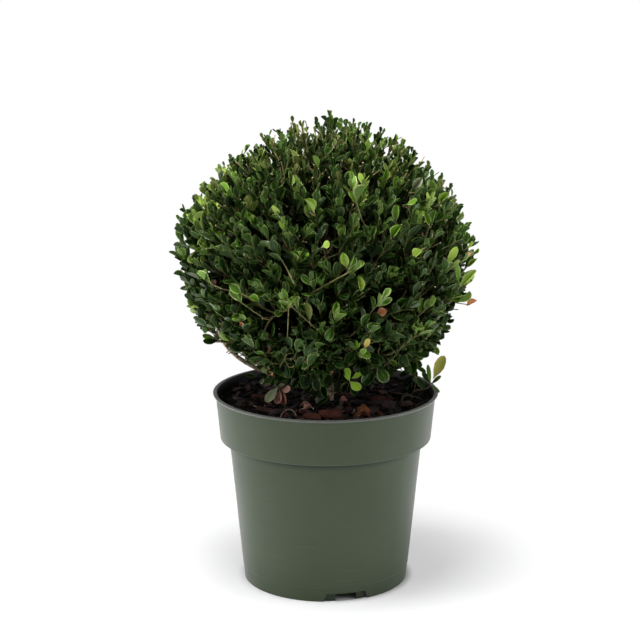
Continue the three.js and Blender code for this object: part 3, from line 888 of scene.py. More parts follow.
# Each bough leaves the trunk at a height and heading, and enters the crown at a heading and a slope.
# The low left one goes through points over the soil instead, out past the core and then up.
boughKeys = ("name", "leaves", "heading", "enters", "slope", "sag", "radius")
boughs = [dict(zip(boughKeys, values)) for values in (
    ("bough_right_low", 0.021, 344, 350, -36, 0.016, 0.0029),
    ("bough_front_left", 0.030, 236, 232, -50, 0.006, 0.0036),
    ("bough_front_right", 0.033, 296, 302, -52, 0.005, 0.0036),
    ("bough_back_left", 0.027, 136, 132, -46, 0.008, 0.0038),
    ("bough_back_right", 0.030, 40, 44, -47, 0.008, 0.0038),
    ("bough_back", 0.018, 88, 90, -44, 0.010, 0.0034),
)]
boughs.append({
    "name": "bough_left_low", "leaves": 0.017, "enters": 184, "slope": -22, "radius": 0.0026,
    "through": [(-0.064, 0.005, 0.028), (-0.0975, 0.0005, 0.0524), (-0.106, -0.0005, 0.071)],
})
boughShape = {"tipShare": 0.7, "sides": 10, "rings": 26, "endInCore": 0.004, "relief": 0.0006}
# The bark's ridges and knots by their grain size, and the ridges' depth in reliefs
barkRelief = {"ridges": 0.007, "ridgeDepth": 1.6, "knots": 0.0018, "crease": 60}
crownCentre = np.array(crownShape["centre"])
soilSurface = soilShape["top"] + soilShape["clearance"]


# The clipped ball's lumps, and how far its outline and its inner core reach along a direction
def lumps(d):
    x, y, z = d[..., 0], d[..., 1], d[..., 2]
    return 1 + crownShape["lump"] * (np.sin(5 * x + 1.3) * np.cos(4 * y) + 0.7 * np.sin(6 * z + 3 * y))


def reachOf(d, across, above, below):
    height = np.where(d[..., 2] < 0, below, above)
    flat = (d[..., 0] ** 2 + d[..., 1] ** 2) / across ** 2
    return lumps(d) / np.sqrt(flat + d[..., 2] ** 2 / height ** 2)


def reach(d):
    return reachOf(d, crownShape["across"], crownShape["above"], crownShape["below"])


def coreReach(d):
    return reachOf(d, crownShape["coreAcross"], crownShape["coreAbove"], crownShape["coreBelow"])


# The same path with its points evenly spaced along it
def evenly(path, count):
    path = np.array(path)
    lengths = np.concatenate([[0], np.cumsum(np.linalg.norm(np.diff(path, axis=0), axis=1))])
    wanted = np.linspace(0, lengths[-1], count)
    return np.stack([np.interp(wanted, lengths, path[:, axis]) for axis in range(3)], axis=-1)


# Points evenly along a smooth curve through given points (a centripetal Catmull-Rom curve)
def smoothPath(points, count):
    points = [np.array(point, float) for point in points]
    ends = [2 * points[0] - points[1], *points, 2 * points[-1] - points[-2]]
    fine = []
    for before, start, end, after in zip(ends, ends[1:], ends[2:], ends[3:]):
        steps = (start - before, end - start, after - end)
        gaps = [max(math.sqrt(np.linalg.norm(step)), 1e-6) for step in steps]
        leaving = steps[0] / gaps[0] - (end - before) / (gaps[0] + gaps[1]) + steps[1] / gaps[1]
        arriving = steps[1] / gaps[1] - (after - start) / (gaps[1] + gaps[2]) + steps[2] / gaps[2]
        for share in np.linspace(0, 1, 60, endpoint=False):
            fine.append(bentPoint(start, leaving * gaps[1], end, arriving * gaps[1], share))
    return evenly([*fine, points[-1]], count)


# A point on the curve that leaves one end along a vector and arrives at the other along another
def bentPoint(start, leaving, end, arriving, share):
    return (
        (2 * share ** 3 - 3 * share ** 2 + 1) * start
        + (share ** 3 - 2 * share ** 2 + share) * leaving
        + (3 * share ** 2 - 2 * share ** 3) * end
        + (share ** 3 - share ** 2) * arriving
    )


def trunkPath(count):
    x, y = trunkShape["foot"]
    leanX, leanY = trunkShape["lean"]
    height = trunkShape["height"]
    return smoothPath([
        (x, y, soilSurface),
        (x, y, soilSurface + 0.004),
        (x + leanX * 0.4, y + leanY * 0.4, soilSurface + height * 0.45),
        (x + leanX, y + leanY, soilSurface + height),
    ], count)


def overSoil(points):
    return np.array(points) + upright * soilSurface


def boughPath(bough, count):
    root = trunkPath(201)[round(200 * bough["leaves"] / trunkShape["height"])]
    d = headingSlope(math.radians(bough["enters"]), math.radians(bough["slope"]))
    tip = crownCentre + d * (coreReach(d) - boughShape["endInCore"])
    if "through" in bough:
        return smoothPath([root, *overSoil(bough["through"]), tip], count)
    out = headingSlope(math.radians(bough["heading"]), 0)
    low = root + out * np.hypot(*(tip - root)[:2]) * 0.5
    low[2] = mix(root[2], tip[2], 0.45) - bough["sag"] * 0.55
    high = mix(low, tip, 0.62) + out * 0.004
    high[2] -= bough["sag"] * 0.3
    return smoothPath([root, mix(root, low, 0.35), low, high, tip], count)


# A ring at the limb's root is drawn out along its path, turned and narrowed at each step.
# With no window, the rotate operator turns the other way, so its angles are negative here.
def drawnLimb(path, radii, sides):
    along = [Vector(row) for row in unit(np.gradient(path, axis=0))]
    deselectAll()
    bpy.ops.mesh.primitive_circle_add(vertices=sides, radius=radii[0], fill_type="NGON")
    limb = bpy.context.object
    limb.rotation_euler = along[0].to_track_quat("Z", "Y").to_euler()
    limb.location = path[0]
    bpy.ops.object.transform_apply(location=True, rotation=True, scale=True)
    editOn(limb)
    for i in range(1, len(path)):
        bpy.ops.mesh.extrude_region_move(TRANSFORM_OT_translate={"value": tuple(path[i] - path[i - 1])})
        narrow = radii[i] / radii[i - 1]
        bpy.ops.transform.resize(value=(narrow, narrow, narrow), center_override=tuple(path[i]))
        turn = along[i - 1].rotation_difference(along[i]).to_euler("XYZ")
        for axis, angle in zip("XYZ", turn):
            if abs(angle) > 1e-6:
                bpy.ops.transform.rotate(value=-angle, orient_axis=axis, center_override=tuple(path[i]))
    endShape()
    return limb


# The bark's relief: a finer mesh pushed in and out by ridges and knots
def addBark(limb, relief):
    smoother = limb.modifiers.new("smoother", "SUBSURF")
    smoother.levels = smoother.render_levels = 2
    displaceBy(limb, barkRelief["ridges"], relief * barkRelief["ridgeDepth"], 1)
    displaceBy(limb, barkRelief["knots"], relief, 3)
    applyModifiers(limb)
    bpy.ops.object.shade_smooth_by_angle(angle=math.radians(barkRelief["crease"]))


def makeLimbs(material):
    share = np.linspace(0, 1, trunkShape["rings"])
    flare = (trunkShape["flareRadius"] - trunkShape["radius"]) * np.exp(-share * trunkShape["flareFade"])
    radii = mix(trunkShape["radius"], trunkShape["forkRadius"], share) + flare
    trunk = drawnLimb(trunkPath(trunkShape["rings"]), radii, trunkShape["sides"])
    addBark(trunk, trunkShape["relief"])
    seatPiece(trunk, "trunkBark", [material], "bark", "trunk")
    for bough in boughs:
        path = boughPath(bough, boughShape["rings"])
        radii = bough["radius"] * np.linspace(1, boughShape["tipShare"], boughShape["rings"])
        limb = drawnLimb(path, radii, boughShape["sides"])
        addBark(limb, boughShape["relief"])
        seatPiece(limb, bough["name"] + "_bark", [material], "bark", bough["name"])


barkMaterial = grainyMaterial(
    "bark", (0.250, 0.180, 0.130), (0.390, 0.310, 0.230), 420.0, 0.0007, 0.85, (1, 1, 0.35), 120.0)
makeLimbs(barkMaterial)
print("trunk and boughs made")


# The branching inside the crown. Each branch joins the nearest limb below it.

branchShape = {
    "twigCount": 104, "forkStep": 13, "sunk": 0.014, "upwardLean": 0.3, "tipReach": (0.9, 0.955),
    "straightness": 2.2, "crowding": 0.3, "nearest": 0.006, "nearCost": 0.03, "tipRadius": 0.00048,
    "growth": 0.42, "scatter": 0.24, "heldWithin": 0.015, "heldFrom": 0.003, "heldStraight": 0.004,
}
twigSteps, mainSteps = 7, 13
# The limbs that carry the boughs on into the crown, and those round the stem: their slopes in degrees,
# how far out they reach in the core, how much they lean up, and their steps
limbShape = {
    "trunkPoints": 12, "stemPoints": 24, "boughPoints": 12, "boughLift": 62, "boughReach": 0.74,
    "boughLean": 0.8, "boughSteps": 12, "stemLimbs": 5, "firstHeading": 20, "stemLift": 38,
    "stemReach": 0.78, "stemLean": 0.5, "stemSteps": 10,
}
# Twigs finer than the frame's: how many, how far out they reach, how much they lean up, and how
# long their last straight run is. The low ones hang round the trunk, between two slopes.
fineKeys = ("count", "reach", "lean", "straight", "scatter")
fineKinds = {kind: dict(zip(fineKeys, values)) for kind, values in (
    ("fine", (860, (0.87, 0.965), (0.4, 1.2), (0.034, 0.056), 0.055)),
    ("deep", (900, (0.50, 0.83), (0.2, 0.8), (0.020, 0.036), 0.06)),
    ("low", (130, (0.82, 0.98), (0.0, 0.5), (0.020, 0.034), 0.08)),
)}
fineKinds["low"]["slopes"] = (-80, -42)
# Stubs: how many twigs have one by how high they head, how long, and how near the clipped outline
stubShape = {
    "heights": (-0.5, 0.1, 0.6, 1), "shares": (0.06, 0.14, 0.6, 0.95), "length": (0.010, 0.022),
    "reach": (0.93, 1.0), "scatter": 0.45,
}
# Twigs that stand out in the photograph: where the straight run starts and ends
shownTwigs = [
    ((0.059, -0.078, 0.247), (0.096, -0.102, 0.282)),
    ((-0.009, -0.124, 0.285), (-0.038, -0.140, 0.316)),
    ((-0.057, -0.118, 0.293), (-0.090, -0.117, 0.317)),
    ((-0.036, -0.117, 0.276), (-0.034, -0.141, 0.313)),
    ((-0.0908, -0.098, 0.3146), (-0.118, -0.066, 0.3195)),
    ((0.004, -0.128, 0.330), (0.028, -0.137, 0.345)),
    ((0.033, -0.112, 0.385), (0.022, -0.106, 0.420)),
    ((0.080, -0.096, 0.285), (0.098, -0.102, 0.303)),
    ((-0.0975, 0.0005, 0.2367), (-0.103, -0.006, 0.270)),
    ((0.105, -0.046, 0.296), (0.137, -0.040, 0.290)),
]
# The run of the low left bough that shows under the crown
shownBough = [
    ((-0.066, 0.004, 0.2125), (-0.084, 0.002, 0.226)),
    ((-0.084, 0.002, 0.226), (-0.0975, 0.0005, 0.2367)),
    ((-0.0975, 0.0005, 0.2367), (-0.105, -0.0005, 0.252)),
]
# The line along the bright sprig at the front shoot, which nothing hides
shownSprig = ((0.017, -0.023, 0.214), (0.036, -0.026, 0.208))
# A slot of sky shows low in the crown's front, along this line
skyLine = ((-0.0307, -0.120, 0.2555), (-0.0345, 0.120, 0.1955))
# How far what grows by seed keeps from the slot and from what shows: twigs, then leaves
twigRoom = {"sky": 0.0046, "sprig": 0.010}
leafRoom = {"sky": 0.0076, "twig": 0.0038, "bough": 0.0075, "leaf": 0.0035, "sprig": 0.014, "soil": 0.004}
# Leaves that show one by one on the crown's front: kind, base, tip and width, in millimetres. A twig
# holds each, and the leaves before those above a height are cleared.
clearedAbove = 260
crownShownLeaves = [
    ("dead", (47, -112, 298), (57, -116, 300), 8.0),
    ("dead", (-54, -66, 251), (-58, -70, 243), 4.0),
    ("dead", (-56, -62, 233), (-52, -67, 226), 4.0),
    ("pale", (80, -78, 408), (90, -82, 420), 8.0),
    ("young", (-4, -129, 363), (2, -134, 368), 7.0),
    ("young", (19, -132, 344), (15, -137, 359), 8.0),
    ("fresh", (21, -132, 344), (25, -137, 357), 5.5),
    ("dead", (137, -39, 288), (143, -44, 296), 8.5),
    ("young", (-112, -66, 379), (-114, -71, 394), 5.0),
    ("young", (-11, -118, 393), (-18, -124, 407), 5.5),
    ("young", (-31, -100, 416), (-31, -105, 426), 8.0),
    ("young", (-47, -114, 391), (-47, -119, 398), 10.0),
    ("fresh", (-7, -85, 429), (-12, -90, 441), 7.5),
    ("fresh", (74, -97, 397), (85, -102, 401), 6.0),
    ("fresh", (99, -87, 377), (103, -92, 391), 7.0),
    ("fresh", (96, -90, 377), (92, -95, 389), 5.5),
    ("fresh", (64, -110, 383), (65, -115, 400), 7.5),
    ("fresh", (60, -117, 369), (68, -122, 382), 8.0),
    ("young", (108, -59, 393), (116, -64, 403), 6.5),
    ("young", (90, -104, 356), (81, -109, 350), 9.0),
    ("young", (114, -78, 337), (122, -83, 354), 7.5),
    ("fresh", (127, -62, 316), (122, -67, 335), 6.5),
    ("young", (128, -58, 310), (143, -62, 328), 8.0),
    ("young", (136, -40, 345), (143, -44, 352), 4.5),
    ("young", (136, -39, 326), (146, -44, 336), 5.0),
    ("young", (32, -134, 322), (30, -138, 338), 6.0),
    ("turning", (36, -112, 263), (40, -118, 276), 5.0),
    ("fresh", (-78, -118, 317), (-89, -122, 326), 8.5),
    ("clipped", (-15, -133, 294), (-19, -138, 313), 7.0),
    ("rust", (-104, -92, 319), (-106, -96, 326), 4.0),
    ("rust", (-56, -102, 257), (-51, -107, 262), 5.0),
    ("mid", (34, -126, 285), (42, -131, 301), 9.0),
    ("fresh", (-72, -121, 315), (-62, -127, 312), 6.5),
    ("mid", (-28, -112, 259), (-22, -116, 274), 9.0),
    ("shade", (-20, -120, 257), (-12, -124, 272), 10.5),
    ("mid", (-18, -118, 247), (-7, -122, 259), 10.0),
    ("shade", (-30, -110, 246), (-18, -114, 252), 8.5),
    ("mid", (-32, -112, 263), (-40, -116, 274), 8.5),
    ("mid", (-23, -56, 226), (-19, -62, 211), 9.0),
    ("shade", (-12, -56, 224), (-7, -62, 209), 9.0),
    ("mid", (-6, -58, 227), (1, -63, 214), 9.0),
    ("shade", (-26, -55, 223), (-32, -60, 212), 8.0),
    ("shade", (29, -62, 244), (47, -70, 236), 13.0),
    ("mid", (50, -58, 234), (60, -66, 220), 14.0),
    ("mid", (48, -56, 228), (37, -64, 214), 12.0),
    ("shade", (-22, -62, 246), (-10, -70, 252), 11.0),
    ("shade", (-19, -62, 243), (-24, -70, 256), 10.0),
    ("deep", (4, -30, 195), (-9, -36, 188), 12.0),
    ("shade", (-4, -36, 213), (1, -40, 197), 7.0),
    ("deep", (13, -36, 216), (10, -40, 201), 6.0),
    ("rust", (-30, 22, 203), (-40, 16, 196), 9.0),
]
places = []      # every point of the branching
parents = []     # the point before each of them
branches = []    # each branch's kind, and its points from the joint to the tip


def addBranch(path, parent, kind):
    rows = [] if parent is None else [parent]
    for place in path:
        places.append(np.array(place))
        parents.append(rows[-1] if rows else -1)
        rows.append(len(places) - 1)
    branches.append((kind, rows))
    return rows


def pathsOf(rowsList):
    return np.array([[places[i] for i in rows] for rows in rowsList])


# The nearest point of a limb to grow from, counting a sidelong start as longer
def bestJoint(candidates, target, grows, used=0):
    gap = target - np.array([places[i] for i in candidates])
    far = np.maximum(np.linalg.norm(gap, axis=1), 1e-6)
    bend = 1 - (gap @ grows) / far
    cost = far * (1 + branchShape["straightness"] * bend) * (1 + branchShape["crowding"] * used)
    cost[far < branchShape["nearest"]] += branchShape["nearCost"]
    return int(np.argmin(cost))


def directionAt(i):
    before = parents[i] if parents[i] >= 0 else i
    return unit(places[i] - places[before] + upright * 1e-6)


# A branch bends away from its joint, then runs straight to its tip the way it grows
def branchPath(joint, tip, grows, steps, straight=0.0):
    start = places[joint]
    knee = tip - grows * min(straight, 0.7 * np.linalg.norm(tip - start))
    gap = knee - start
    far = max(np.linalg.norm(gap), 1e-6)
    leaving = unit(directionAt(joint) * 0.8 + grows * 0.6 + gap / far) * far
    path = [bentPoint(start, leaving, knee, grows * far, share) for share in np.linspace(0, 1, 7)]
    return evenly([*path, tip], steps + 1)[1:]


# A limb in the core from a point of the branching, toward a heading and slope in degrees
def growLimb(joint, heading, slope, kind):
    d = headingSlope(math.radians(heading), math.radians(slope))
    target = crownCentre + d * coreReach(d) * limbShape[kind + "Reach"]
    grows = unit(d + upright * limbShape[kind + "Lean"])
    return addBranch(branchPath(joint, target, grows, limbShape[kind + "Steps"]), joint, "limb")[1:]


# The frame's limbs come first: the trunk, its stem up through the crown, and the boughs
def growScaffold():
    trunkRows = addBranch(trunkPath(limbShape["trunkPoints"]), None, "frame")
    top = places[trunkRows[-1]]
    height = crownCentre[2]
    stem = smoothPath([
        top, (top[0] + 0.001, top[1] - 0.002, 0.245), (0.004, -0.004, height),
        (-0.003, 0.003, height + 0.072),
    ], limbShape["stemPoints"])[1:]
    stemRows = addBranch(stem, trunkRows[-1], "limb")
    limbs = list(stemRows[4:])
    for bough in boughs:
        boughRows = addBranch(boughPath(bough, limbShape["boughPoints"])[1:], trunkRows[6], "frame")
        limbs += growLimb(boughRows[-1], bough["enters"], bough["slope"] + limbShape["boughLift"], "bough")
        limbs += boughRows[-4:]
    for i in range(limbShape["stemLimbs"]):
        heading = limbShape["firstHeading"] + 360 / limbShape["stemLimbs"] * i
        limbs += growLimb(stemRows[9 + 2 * i], heading, limbShape["stemLift"], "stem")
    return limbs


def grownDirection(d, lean):
    return unit(d + upright * (lean * np.hypot(d[..., 0], d[..., 1]))[..., None])


# The frame's twigs by its own rule, each carried in to the nearest limb, and then those that show
def growTwigs(limbs, random):
    headings = evenHeadings(branchShape["twigCount"])
    grows = grownDirection(headings, branchShape["upwardLean"])
    shares = random.uniform(*branchShape["tipReach"], len(headings))[:, None]
    tips = crownCentre + headings * reach(headings)[:, None] * shares
    inward = crownCentre + headings * (coreReach(headings) - branchShape["sunk"])[:, None]
    roots = tips - grows * np.linalg.norm(tips - inward, axis=1, keepdims=True)
    period = 2 * branchShape["forkStep"]
    mains = [i for i in range(len(tips)) if i % period < branchShape["forkStep"]]
    mains.sort(key=lambda i: np.linalg.norm(roots[i] - places[limbs[0]]))
    outer = []
    for i in mains:
        joint = limbs[bestJoint(limbs, roots[i], grows[i])]
        straight = np.linalg.norm(tips[i] - roots[i])
        rows = addBranch(branchPath(joint, tips[i], grows[i], mainSteps, straight), joint, "twig")
        limbs += rows[2:8]
        outer += rows[3:]
        fork = i + branchShape["forkStep"]
        if fork < len(tips):
            run = branchPath(rows[9], tips[fork], grows[fork], twigSteps, 0.5 * straight)
            outer += addBranch(run, rows[9], "fork")[1:]
    for start, end in np.array(shownTwigs):
        grows = unit(end - start)
        joint = limbs[bestJoint(limbs, start, grows)]
        run = branchPath(joint, end, grows, mainSteps, np.linalg.norm(end - start))
        outer += addBranch(run, joint, "shown")[1:]
    return outer


def distanceToLine(points, start, end):
    start, along = np.array(start), np.array(end) - np.array(start)
    share = np.clip((points - start) @ along / (along @ along), 0, 1)
    return np.linalg.norm(points - start - share[..., None] * along, axis=-1)


# Whether points stand before a run of twig, as seen from the front and a little above
def standsBefore(points, start, end, room):
    slope = math.tan(studioTilt)
    seen, seenStart, seenEnd = (
        np.stack([part[..., 0], part[..., 2] + slope * part[..., 1]], axis=-1)
        for part in (points, np.array(start), np.array(end)))
    near = distanceToLine(seen, seenStart, seenEnd) < room
    return near & (points[..., 1] < max(start[1], end[1]) + room)


# Finer twigs of one kind, each from the twig nearest to its root
def growFineTwigs(outer, random, kind):
    shape = fineKinds[kind]
    count = shape["count"]
    headings = evenHeadings(count)
    if "slopes" in shape:
        slopes = np.radians(random.uniform(*shape["slopes"], count))
        headings = headingSlope(np.arange(count) * goldenAngle, slopes)
    headings = unit(headings + random.normal(0, shape["scatter"], headings.shape))
    far = reach(headings) * random.uniform(*shape["reach"], count)
    tips = crownCentre + headings * far[:, None]
    grows = grownDirection(headings, random.uniform(*shape["lean"], count))
    grows = unit(grows + random.normal(0, branchShape["scatter"], grows.shape))
    straight = random.uniform(*shape["straight"], count)
    used = np.zeros(len(outer))
    twigs, kept = [], []
    for i, tip in enumerate(tips):
        pick = bestJoint(outer, tip - grows[i] * straight[i], grows[i], used)
        run = branchPath(outer[pick], tip, grows[i], twigSteps, straight[i])
        inSky = distanceToLine(run, *skyLine).min() < twigRoom["sky"]
        if inSky or standsBefore(run, *shownSprig, twigRoom["sprig"]).any():
            continue
        used[pick] += 1
        twigs.append(addBranch(run, outer[pick], kind))
        kept.append(i)
    return twigs, headings[kept]


# Short bare ends that the shears left, on the sides of twigs and mostly on top
def growStubs(twigs, headings, random):
    shape = stubShape
    for rows, d in zip(twigs, headings):
        if random.random() > np.interp(d[2], shape["heights"], shape["shares"]):
            continue
        joint = rows[random.integers(3, 6)]
        grows = unit(directionAt(joint) + d * 0.4 + random.normal(0, shape["scatter"], 3))
        tip = places[joint] + grows * random.uniform(*shape["length"])
        outward = tip - crownCentre
        far = np.linalg.norm(outward)
        limit = reach(outward / far) * random.uniform(*shape["reach"])
        tip = crownCentre + outward * min(1, limit / far)
        addBranch(evenly([places[joint], tip], 4)[1:], joint, "stub")


# A short twig holds each leaf that shows one by one, unless it sits on one already
def holdShownLeaves():
    twigs = [rows for kind, rows in branches if kind in ("fine", "deep", "low", "shown")]
    candidates = np.array(sorted({i for rows in twigs for i in rows[1:]}))
    points = np.array([places[i] for i in candidates])
    for row in crownShownLeaves:
        target, tip = np.array(row[1:3]) / 1000
        grows = unit(tip - target)
        far = np.linalg.norm(points - target, axis=1)
        if far.min() < branchShape["heldFrom"]:
            continue
        near = candidates[far < max(branchShape["heldWithin"], far.min() + 0.001)]
        joint = near[bestJoint(near, target, grows)]
        addBranch(branchPath(joint, target, grows, 5, branchShape["heldStraight"]), joint, "held")


# A branch is as thick as the twigs beyond each of its points need
def branchRadii():
    load = np.zeros(len(places))
    for _, rows in branches:
        i = rows[-1]
        while i >= 0:
            load[i] += 1
            i = parents[i]
    return branchShape["tipRadius"] * np.maximum(load, 1) ** branchShape["growth"]


# Tapering tubes along rows of paths (count, steps, 3), closed at both ends, the tip's end cut flat
def tubes(paths, radii, sides, cutSlot=1):
    count, steps, _ = paths.shape
    along = unit(np.gradient(paths, axis=1))
    side = unit(np.cross(along[:, 0], np.where(np.abs(along[:, :1, 2]) > 0.9, [1.0, 0, 0], upright)))
    rings = []
    for step in range(steps):
        side = unit(side - along[:, step] * np.sum(side * along[:, step], axis=1, keepdims=True))
        other = np.cross(along[:, step], side)
        turn = np.arange(sides) / sides * math.tau
        ring = side[:, None] * np.cos(turn)[None, :, None] + other[:, None] * np.sin(turn)[None, :, None]
        rings.append(paths[:, step, None] + ring * radii[:, step, None, None])
    points = np.stack(rings, axis=1)
    corner = np.arange(steps * sides).reshape(steps, sides)
    low, high = corner[:-1], corner[1:]
    nextLow, nextHigh = np.roll(low, -1, axis=1), np.roll(high, -1, axis=1)
    walls = np.concatenate([
        np.stack([low, nextLow, nextHigh], axis=-1).reshape(-1, 3),
        np.stack([low, nextHigh, high], axis=-1).reshape(-1, 3),
    ])
    fan = np.arange(1, sides - 1)
    root = np.stack([np.zeros_like(fan), fan + 1, fan], axis=-1)
    tip = np.stack([np.zeros_like(fan), fan, fan + 1], axis=-1) + (steps - 1) * sides
    faces = np.concatenate([walls, root, tip])
    slots = np.concatenate([np.zeros(len(walls) + len(root)), np.full(len(tip), cutSlot)])
    corners = faces[None] + np.arange(count)[:, None, None] * steps * sides
    return {
        "points": points.reshape(-1, 3),
        "corners": corners.reshape(-1, 3),
        "slots": np.tile(slots, count),
        "uv": np.zeros((count * len(faces), 3, 2)),
    }


# Tubes for the branches of some kinds, those with the same number of points together
def branchTubes(kinds, sides, radii, largest):
    chosen = [rows for kind, rows in branches if kind in kinds]
    shapes = []
    for length in sorted({len(rows) for rows in chosen}):
        alike = [rows for rows in chosen if len(rows) == length]
        thick = np.array([[min(radii[i], largest) for i in rows] for rows in alike])
        thick[:, 0] = np.minimum(thick[:, 0], thick[:, 1] * 1.15)
        shapes.append(tubes(pathsOf(alike), thick, sides))
    return joinedShapes(shapes)


random = np.random.default_rng(7)
outerRows = growTwigs(growScaffold(), random)
fineTwigs = {kind: growFineTwigs(outerRows, random, kind) for kind in fineKinds}
growStubs(*fineTwigs["fine"], random)
holdShownLeaves()
radii = branchRadii()
# The twigs' barks and the wood where the shears cut: two tints, grain scale, relief and roughness
twigTints = {
    "oldTwig": ((0.085, 0.062, 0.038), (0.160, 0.122, 0.075), 500.0, 0.0003, 0.8),
    "youngTwig": ((0.075, 0.080, 0.024), (0.160, 0.135, 0.050), 600.0, 0.0002, 0.65),
    "shownTwig": ((0.110, 0.115, 0.035), (0.230, 0.190, 0.075), 600.0, 0.0002, 0.65),
    "stubTwig": ((0.190, 0.130, 0.055), (0.400, 0.330, 0.170), 600.0, 0.0002, 0.65),
    "shootBark": ((0.230, 0.165, 0.120), (0.400, 0.330, 0.240), 500.0, 0.0003, 0.8),
    "cutWood": ((0.50, 0.42, 0.27), (0.62, 0.53, 0.36), 900.0, 0.0001, 0.8),
}
twigMaterials = {name: grainyMaterial(name, *values) for name, values in twigTints.items()}


def twigFinish(bark):
    return [twigMaterials[bark], twigMaterials["cutWood"]]


# Pieces of the branching: the kinds in each, their sides, their greatest radius and their bark
branchPieces = {
    "crownLimbs": (("limb",), 10, 0.0045, "oldTwig"),
    "crownTwigs": (("twig",), 7, 0.0013, "oldTwig"),
    "crownForks": (("fork",), 6, 0.0010, "youngTwig"),
    "shownTwigs": (("shown",), 7, 0.0007, "shownTwig"),
    "crownFineTwigs": (("fine",), 5, 0.0008, "youngTwig"),
    "heldTwigs": (("held",), 5, 0.0005, "youngTwig"),
    "crownDeepTwigs": (("deep", "low"), 5, 0.0008, "oldTwig"),
    "crownStubs": (("stub",), 5, 0.0006, "stubTwig"),
}
for pieceName, (kinds, sides, largest, bark) in branchPieces.items():
    seatPiece(meshPiece(branchTubes(kinds, sides, radii, largest)), pieceName, twigFinish(bark), "bark")
print("branching made:", len(places), "points")


# Leaves

leafShape = {
    "length": 0.0170, "width": 0.0075, "widest": 0.6, "thickness": 0.00035,
    "rows": (0.15, 0.35, 0.58, 0.80, 0.94), "leastWidth": 0.06, "stalkWidth": 0.01,
}
# How leaves stand on a twig: the gap between them, how far they spread from it (from the tip down, in
# degrees), how much they lean up and out, and how their size goes by their order from the tip
leafHabit = {
    "internode": 0.0044, "gapScatter": (0, 0.8), "turnScatter": 0.35, "spread": (20, 50),
    "spreadScatter": 10, "spreadBy": 5, "upwardLean": 0.4, "outwardLean": 0.1, "faceScatter": 0.38,
    "orders": (0, 1, 3, 8, 12), "sizes": (0.62, 0.78, 1.0, 1.04, 0.95), "sizeScatter": (0.78, 1.16),
    "widthScatter": (0.84, 1.14), "leastShare": 0.08,
}
leavesPerTwig = {"fine": 9, "deep": 8, "low": 8, "shown": 6}
# Leaf forms: how far the halves fold up, how the tip bends, the width, and where the shears cut it
leafForms = [
    {"fold": 0.38, "bend": -0.05, "broad": 1.0},
    {"fold": 0.16, "bend": 0.12, "broad": 1.15},
    {"fold": -0.12, "bend": -0.16, "broad": 1.05},
    {"fold": 0.60, "bend": 0.08, "broad": 1.0},
    {"fold": 0.12, "bend": 0.03, "broad": 1.0, "cutAt": 0.62},
    {"fold": 0.55, "bend": -0.40, "broad": 0.9},
    {"fold": 0.85, "bend": -0.12, "broad": 1.05},
]


# Half of the leaf's width at a share of its length: narrow at the stalk, round at the tip
def leafHalfWidth(share):
    widest = leafShape["widest"]
    if share < widest:
        return 0.5 * math.sin(math.pi / 2 * share / widest) ** 1.5
    return 0.5 * math.sqrt(max(0, 1 - ((share - widest) / (1 - widest)) ** 2))


# One leaf, one unit long and wide: a grid shaped row by row, with its underside a little below
def leafModel(form):
    leaf = startShape(bpy.ops.mesh.primitive_grid_add, x_subdivisions=2, y_subdivisions=6, size=1)
    cutAt = form.get("cutAt", 1.0)
    shares = [share * cutAt for share in (0.0, *leafShape["rows"], 1.0)]
    for i, share in reversed(list(enumerate(shares))):
        row = -0.5 + i / 6
        selectWhere(leaf, lambda place: abs(place.y - row) < 0.01 and place.z == 0)
        inside = 0 < share < 1
        narrow = max(2 * leafHalfWidth(share), leafShape["leastWidth"]) if inside else leafShape["stalkWidth"]
        bpy.ops.transform.resize(value=(narrow, 1, 1), center_override=(0, 0, 0))
        bpy.ops.transform.translate(value=(0, share - row, form["bend"] * share ** 2 + 1e-5))
        selectWhere(
            leaf, lambda place: abs(place.y - share) < 1e-4 and abs(place.x) > 1e-3 and place.z != 0)
        bpy.ops.transform.translate(value=(0, 0, form["fold"] * leafHalfWidth(share)))
    bpy.ops.mesh.select_all(action="SELECT")
    bpy.ops.mesh.duplicate()
    bpy.ops.mesh.flip_normals()
    bpy.ops.transform.translate(value=(0, 0, -1e-4))
    under = bmesh.from_edit_mesh(leaf.data)
    for face in under.faces:
        face.material_index = int(face.select)
    for vert in under.verts:
        if vert.select and abs(vert.co.x) < 1e-4 and 0.01 < vert.co.y < cutAt - 0.01:
            vert.co.z -= 2 * leafShape["thickness"] / leafShape["length"]
    bmesh.update_edit_mesh(leaf.data)
    bpy.ops.mesh.select_all(action="SELECT")
    bpy.ops.mesh.remove_doubles(threshold=0.012)
    editOff()
    return takeModel(leaf)


leafModels = [leafModel(form) for form in leafForms]
print("leaf models:", [len(model["corners"]) for model in leafModels], "triangles each")


